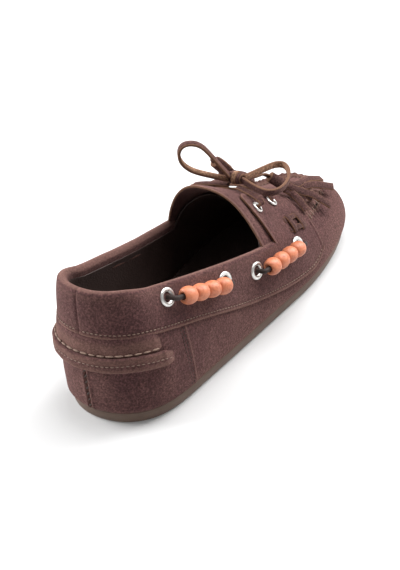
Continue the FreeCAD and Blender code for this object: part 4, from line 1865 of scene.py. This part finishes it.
@dataclass
class Beads:
    """Wooden beads and the leather thong that carries them."""

    size: float = 10.4
    long: float = 9.4
    bore: float = 3.9
    clear: float = 1.2
    thong: float = 1.5
    droops: tuple = (1.6, 0.0)
    steps: int = 48

    def bead(self, name: str, centre: Array, line: Array, seed: int) -> bpy.types.Object:
        """One turned bead, a little uneven, with eased bore edges.

        Args:
            name: name to give.
            centre: centre, in mm.
            line: direction of the thong.
            seed: seed of the unevenness.

        Returns:
            The bead object.
        """
        r, h, b = self.size / 2, self.long / 2, self.bore / 2
        rng = np.random.default_rng(seed)
        swell = 1 + rng.uniform(-0.03, 0.0)
        section = [(b, -h + 0.9), (b + 0.15, -h + 0.35), (b + 0.5, -h + 0.12)]
        for k in range(1, 16):
            a = -math.pi / 2 + math.pi * k / 16
            belly = (r * swell - b - 0.5) * math.cos(a) ** 0.9
            section.append((b + 0.5 + belly, h * math.sin(a) * 0.985))
        section += [(b + 0.5, h - 0.12), (b + 0.15, h - 0.35), (b, h - 0.9)]

        def flat(radius: float, turn: float) -> float:
            """Slightly oval outside, with a round bore."""
            return 1 - 0.02 * math.cos(2 * turn + seed) if radius > b + 1 else 1
        upright = np.array([0.2, 0.1, 1.0])
        return turned(name, centre, line, upright, section, self.steps, Finish.BEAD, flat)

    def build(self) -> None:
        """Thread both rows."""
        ride_high = BAND_OUT + self.size / 2 + self.clear
        axes = {j["child"]: np.array(j["axis"]) for j in frame["joints"] if j["type"] == "slide"}
        thongs = []
        for row, (word, droop) in enumerate(zip(("rear", "front"), self.droops)):
            (ya, za), (yb, zb) = BEAD_EYES[2 * row:2 * row + 2]
            in_a, n_a = LAST.on_band(ya, za, 1, 0.4)
            in_b, n_b = LAST.on_band(yb, zb, 1, 0.4)
            drop = np.array([0, 0, droop])
            out_a, out_b = in_a + n_a * ride_high - drop, in_b + n_b * ride_high - drop
            run = (out_b - out_a) / np.linalg.norm(out_b - out_a)
            line = nurbs_line([in_a, in_a + n_a * 3.6, out_a, out_a + run * 4, out_b - run * 4,
                               out_b, in_b + n_b * 3.6, in_b], 10)
            thongs.append(tube("thong", line, self.thong, Finish.THONG))
            for k in range(1, 5):
                node = f"bead_{word}_{k}_right"
                low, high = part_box(node)
                centre = (np.array(low) + np.array(high)) / 2 / MM
                piece = self.bead(f"{node}_turned", centre, axes[node], 10 * row + k)
                settle(piece, node, "bead_wood", node)
        settle(join("bead_thongs_right", thongs), ROOT, "thong_leather", "bead_thong_right")


# ------------------------------------------------------------------ lace, bow, tassels
LOOP_LEFT = ((-3.2, 28.7, 79.4), (-6.6, 25.9, 86.6), (-10.7, 22.6, 95.2), (-14.4, 19.5, 102.4),
             (-18.8, 15.9, 105.3), (-23.8, 12.0, 104.6), (-25.9, 10.1, 99.5),
             (-25.1, 10.7, 92.9), (-21.3, 13.8, 87.4), (-16.8, 17.5, 84.3), (-11.3, 22.0, 81.4),
             (-4.2, 28.0, 77.6))
LOOP_RIGHT = ((4.2, 33.5, 77.5), (5.5, 42, 76.5), (7, 53, 75.2), (9, 61.5, 74.2),
              (14, 64.3, 73.6), (22, 57, 73.4), (28.6, 44, 74), (30.2, 32, 75.1),
              (26.2, 26, 76), (19, 26.3, 76.7), (11.5, 28.5, 77.2), (4.8, 30.6, 77.6))


@dataclass
class LaceBow:
    """The tied leather lace: knot, two loops and the runs to the eyelets."""

    left_width: float = 5.0
    right_width: float = 4.4
    thick: float = 1.9
    run_width: float = 3.6
    run_thick: float = 1.7

    def loop(self, tag: str, route: Sequence, plane: Array, flesh: int,
             width: float) -> bpy.types.Object:
        """One bow loop, its width square to the plane that it lies in.

        Args:
            tag: left or right.
            route: control points, in mm.
            plane: direction of the strap's width.
            flesh: which face shows the inner side of the leather.
            width: width, in mm.

        Returns:
            The loop object.
        """
        line = nurbs_line(route, 10)
        obj = strap(f"bow_loop_{tag}_strap", line, plane, width, self.thick, flesh=flesh)
        settle(obj, ROOT, "lace_leather", f"bow_loop_{tag}")
        length = float(np.linalg.norm(np.diff(line, axis=0), axis=1).sum()) * MM
        log.info("bow loop %s: %.1f mm long", tag, length / MM)
        return obj

    def knot(self) -> bpy.types.Object:
        """Wrapped knot: three turns of strap round a core.

        Returns:
            The knot object.
        """
        low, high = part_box("lace_knot")
        centre = (np.array(low) + np.array(high)) / 2 / MM
        turns = []
        sizes = ((-3.0, 2.7, 0.25), (0.0, 3.3, -0.15), (3.2, 2.6, 0.2))
        for k, (shift, radius, lean) in enumerate(sizes):
            ang = np.linspace(0, 2 * math.pi, 36)
            line = np.stack([np.full(36, shift) + lean * 2 * np.cos(ang), radius * np.cos(ang),
                             radius * np.sin(ang)], 1) + centre
            turns.append(strap(f"turn_{k}", line, np.array([1.0, 0.15, 0.1]), 3.6, 1.6,
                               Finish.FLESH if k == 1 else Finish.LACE))
        core = [[centre[0] - 4.6, centre[1] - 0.6, centre[2]], [centre[0], centre[1], centre[2] + 0.2],
                [centre[0] + 4.6, centre[1] + 0.7, centre[2]]]
        turns.append(tube("core", nurbs_line(core, 8), 2.2, Finish.LACE))
        return join("lace_knot_wrap", turns)

    def runs(self) -> bpy.types.Object:
        """Lace from the knot down to the eyelets and across the instep.

        Returns:
            The runs as one object.
        """
        pieces = []
        for side in (1, -1):
            end, n = LAST.on_band(*LACE_EYES[0], side, 0.5)
            above = end + n * 6.2
            start = np.array([3.2 * side, 27.6, 73.8])
            line = nurbs_line([start, (start * 2 + above) / 3 + (0, 0, 0.8),
                               (start + above * 2) / 3 + (0, 0, 0.9), above, end + n * 3.0, end], 10)
            pieces.append(strap("run", line, np.array([0.35, 1.0, 0.2]), self.run_width,
                                self.run_thick))
        (pr, nr), (pl, nl) = (LAST.on_band(*LACE_EYES[1], side, 0.5) for side in (1, -1))
        y = LACE_EYES[1][0]
        crown = np.array([0, y, float(LAST.height(0.0, y, 0)) + 3.6])
        line = nurbs_line([pr, pr + nr * 4.6, (pr + nr * 5 + crown) / 2 + (0, 0, 1.0), crown,
                           (pl + nl * 5 + crown) / 2 + (0, 0, 1.0), pl + nl * 4.6, pl], 10)
        pieces.append(strap("cross", line, np.array([0.0, 1.0, 0.0]), self.run_width,
                            self.run_thick))
        return join("lace_runs_strap", pieces)

    def build(self) -> None:
        """Make the tied lace."""
        self.loop("left", LOOP_LEFT, np.array([0.634, -0.77, -0.1]), -1, self.left_width)
        self.loop("right", LOOP_RIGHT, np.array([0.1, 0.1, 0.99]), 1, self.right_width)
        settle(self.knot(), ROOT, "lace_leather", "lace_knot")
        settle(self.runs(), ROOT, "lace_leather", "lace_runs")


@dataclass
class Tassel:
    """Rolled leather tassel on the end of a lace."""

    tag: str
    start: tuple
    end: tuple
    tail: tuple
    tips: tuple
    strip: float = 4.8
    leather: float = 1.3
    radius: float = 4.1
    long: float = 13.0
    turns: float = 3.1
    tail_width: float = 3.2
    tail_thick: float = 1.4

    def cap(self) -> bpy.types.Object:
        """Strip of leather rolled into a spiral.

        Returns:
            The cap object.
        """
        start, end = np.array(self.start, float), np.array(self.end, float)
        axis = (end - start) / np.linalg.norm(end - start)
        w = np.cross(axis, (0, 0, 1.0))
        w /= np.linalg.norm(w)
        v = np.cross(axis, w)
        t = np.linspace(0, 1, 150)
        ang = t * self.turns * 2 * math.pi
        r = 1.0 + (self.radius - 0.65 - 1.0) * t
        mid = start + axis * (self.long / 2)
        line = mid + r[:, None] * (np.cos(ang)[:, None] * w + np.sin(ang)[:, None] * v)
        roll = strap("roll", line, axis, self.long, 1.12)
        tie = np.linspace(0, 2 * math.pi, 40)
        hoop = (start + axis * (self.long - 2.2)
                + (self.radius + 0.25) * (np.cos(tie)[:, None] * w + np.sin(tie)[:, None] * v))
        return join(f"tassel_roll_{self.tag}", [roll, strap("tie", hoop, axis, 2.2, 0.9)])

    def fringe(self) -> bpy.types.Object:
        """Strips spreading from the cap, each with its own curl.

        Returns:
            The strips as one object.
        """
        start, end = np.array(self.start, float), np.array(self.end, float)
        axis = (end - start) / np.linalg.norm(end - start)
        mouth = start + axis * (self.long - 1.0)
        w = np.cross(axis, (0, 0, 1.0))
        w /= np.linalg.norm(w)
        v = np.cross(w, axis)
        pieces = []
        for k, (tip, rise, curl) in enumerate(self.tips):
            tip = np.array(tip, float)
            spread = (k - (len(self.tips) - 1) / 2) / len(self.tips)
            root = mouth + w * spread * 6.0 + v * (1.6 * math.cos(k * 2.1))
            out = root + axis * 6.0
            mid = (out + tip) / 2 + np.array([0, 0, rise])
            near = tip * 0.75 + out * 0.25 + np.array([0, 0, rise * 0.5])
            line = nurbs_line([root, out, mid, near, tip], 12)
            twist = np.linspace(0, 1, len(line))[:, None]
            flat = np.cross(np.gradient(line, axis=0), (0.42, -0.5, 0.75))
            flat /= np.linalg.norm(flat, axis=1, keepdims=True)
            lean = flat + twist * curl * np.array([0, 0, 1.0])
            pieces.append(strap(f"strip_{k}", line, lean, self.strip, self.leather))
        return join(f"tassel_strips_{self.tag}", pieces)

    def build(self) -> None:
        """Make the tassel and its tail, which swing together."""
        body = f"tassel_{self.tag}"
        settle(self.cap(), body, "lace_leather", f"tassel_cap_{self.tag}")
        settle(self.fringe(), body, "lace_leather", f"tassel_fringe_{self.tag}")
        start, end = np.array(self.start, float), np.array(self.end, float)
        before = start - (end - start) / np.linalg.norm(end - start) * 0.1
        line = nurbs_line([*self.tail, before], 10)
        tail = strap(f"tail_{self.tag}", line, np.array([0.9, 0.3, 0.2]), self.tail_width,
                     self.tail_thick)
        settle(tail, body, "lace_leather", f"lace_tail_{self.tag}")


RIGHT_TASSEL = Tassel(
    "right", (5, 59, 65.5), (13.5, 65.5, 56.2),
    ((1.2, 35.8, 75), (3.0, 43, 72.2), (2.6, 51, 69.8), (2.6, 57.2, 68.1)),
    (((12.5, 106, 42), 3.0, 0.3), ((23, 103.5, 39.5), 3.5, -0.4), ((32, 85, 37.5), 4.0, 0.5),
     ((22.5, 79, 43.5), 2.0, -0.5), ((29, 62, 45.5), 1.5, 0.4), ((14, 92, 46), 2.0, 0.3)))
LEFT_TASSEL = Tassel(
    "left", (-18, 34.5, 83.2), (-14, 41.7, 72.4),
    ((-4.2, 33, 80.8), (-11, 32.2, 88), (-19.2, 32.4, 86.4)),
    (((-14, 68, 54), 2.0, 0.2), ((-22, 68, 52), 2.5, -0.3), ((-29, 65, 50), 2.0, 0.4),
     ((-34, 58, 51), 2.5, -0.3), ((-35, 50, 55), 1.5, 0.5)))


@dataclass
class WovenTabs:
    """Small slotted tabs let into the vamp."""

    spots: tuple = ((41.0, 47.5), (51.0, 44.5))
    reach: float = 6.0
    keeper_width: float = 4.4
    keeper_thick: float = 1.3
    weft_width: float = 3.4
    weft_thick: float = 1.0
    weft_gap: float = 2.8

    def build(self) -> None:
        """Weave the tabs of both sides into one piece."""
        straps = []
        for side in (1, -1):
            for y, z in self.spots:
                at, n = LAST.on_band(y, z, side, BAND_OUT + 0.75)
                w = np.cross(n, (0, 1.0, 0)) * -1
                w /= np.linalg.norm(w)
                v = np.cross(n, w)
                t = np.linspace(-self.reach, self.reach, 17)
                arch = 1.6 * np.cos(t / self.reach * math.pi / 2) ** 0.4 - 1.1
                line = at + w * t[:, None] + n * arch[:, None]
                straps.append(strap("keeper", line, v, self.keeper_width, self.keeper_thick))
            (ya, za), (yb, zb) = self.spots
            for shift in (-self.weft_gap, self.weft_gap):
                pair = [LAST.on_band(y, z + shift, side, BAND_OUT + lift)[0]
                        for y, z, lift in ((ya - 4.6, za + 1.4, -0.2), (ya, za, 0.1),
                                           ((ya + yb) / 2, (za + zb) / 2, 1.5), (yb, zb, 0.1),
                                           (yb + 4.6, zb - 1.4, -0.2))]
                straps.append(strap("weft", nurbs_line(pair, 8), w, self.weft_width,
                                    self.weft_thick))
        settle(join("woven_tab_straps", straps), ROOT, "suede", "woven_tabs")


# ------------------------------------------------------------------ hidden layers, studio
def dress_hidden() -> None:
    """Give the layers that stay as CAD their finishes."""
    for node, finish in (("filler", Finish.FOAM), ("insole_board", Finish.BOARD),
                         ("counter_stiffener", Finish.BOARD), ("toe_puff", Finish.BOARD),
                         ("collar_foam_right", Finish.FOAM), ("collar_foam_left", Finish.FOAM)):
        obj = frame["nodes"][node]
        obj.data.materials.clear()
        obj.data.materials.append(finish.mat)


@dataclass(frozen=True)
class Studio:
    """Pale floor, soft light and the camera."""

    azimuth: float = 39.5
    elevation: float = 33.0
    roll: float = -7.3
    target: tuple = (-13.6, 0.0, 13.6)
    distance: float = 874.0
    focal: float = 1392.0
    image_width: int = 400

    def camera(self) -> None:
        """Place the camera."""
        a, e, r = (math.radians(v) for v in (self.azimuth, self.elevation, self.roll))
        back = Vector((math.sin(a) * math.cos(e), -math.cos(a) * math.cos(e), math.sin(e)))
        right = Vector((math.cos(a), math.sin(a), 0))
        up = back.cross(right)
        x_axis = right * math.cos(r) + up * math.sin(r)
        y_axis = up * math.cos(r) - right * math.sin(r)
        cam = bpy.data.cameras.new("camera")
        cam.sensor_fit = "HORIZONTAL"
        cam.sensor_width = 36.0
        cam.lens = self.focal / self.image_width * 36.0
        cam.clip_start = 0.01
        obj = bpy.data.objects.new("camera", cam)
        place = (Vector(self.target) + back * self.distance) * MM
        obj.matrix_world = Matrix((
            (x_axis.x, y_axis.x, back.x, place.x), (x_axis.y, y_axis.y, back.y, place.y),
            (x_axis.z, y_axis.z, back.z, place.z), (0, 0, 0, 1)))
        bpy.context.scene.collection.objects.link(obj)
        bpy.context.scene.camera = obj

    def light(self, name: str, place: tuple, size: float, power: float) -> None:
        """One square soft light aimed at the shoe.

        Args:
            name: name to give.
            place: position, in metres.
            size: side of the square, in metres.
            power: power, in watts.
        """
        data = bpy.data.lights.new(name, "AREA")
        data.size = size
        data.energy = power
        obj = bpy.data.objects.new(name, data)
        obj.location = place
        obj.rotation_euler = (-Vector(place)).to_track_quat("-Z", "Y").to_euler()
        bpy.context.scene.collection.objects.link(obj)

    def build(self) -> None:
        """Set up floor, lights and camera."""
        world = bpy.data.worlds.new("studio")
        world.use_nodes = True
        world.node_tree.nodes["Background"].inputs["Color"].default_value = (1, 1, 1, 1)
        world.node_tree.nodes["Background"].inputs["Strength"].default_value = 0.26
        bpy.context.scene.world = world
        bpy.context.scene.view_settings.view_transform = "Standard"
        floor_mesh = bpy.data.meshes.new("floor")
        size, level = 4.0, -0.0006
        floor_mesh.from_pydata([(-size, -size, level), (size, -size, level), (size, size, level),
                                (-size, size, level)], [], [(0, 1, 2, 3)])
        floor = bpy.data.objects.new("floor", floor_mesh)
        bpy.context.scene.collection.objects.link(floor)
        s = Shade("paper")
        s.shader.inputs["Emission Color"].default_value = (1, 1, 1, 1)
        floor_mesh.materials.append(s.finish((0.55, 0.55, 0.55), 0.8, Emission_Strength=0.12))
        self.light("left", (-1.5, -0.6, 0.8), 1.2, 56.0)
        self.light("front", (0.6, 1.4, 1.1), 1.2, 42.0)
        self.light("top", (0.2, 0.4, 1.7), 1.2, 32.0)
        self.camera()


def main() -> None:
    """Build the shoe, piece by piece, then the studio."""
    logging.basicConfig(level=logging.INFO, format="%(name)s %(message)s")
    stitches = StitchWork()
    Studio().build()
    LaceBow().build()
    RIGHT_TASSEL.build()
    LEFT_TASSEL.build()
    Sole().build()
    Upper(stitches).build()
    HeelTrim(stitches).build()
    Lining().build()
    Eyelets().build()
    Beads().build()
    WovenTabs().build()
    dress_hidden()


if __name__ == "__main__":
    main()
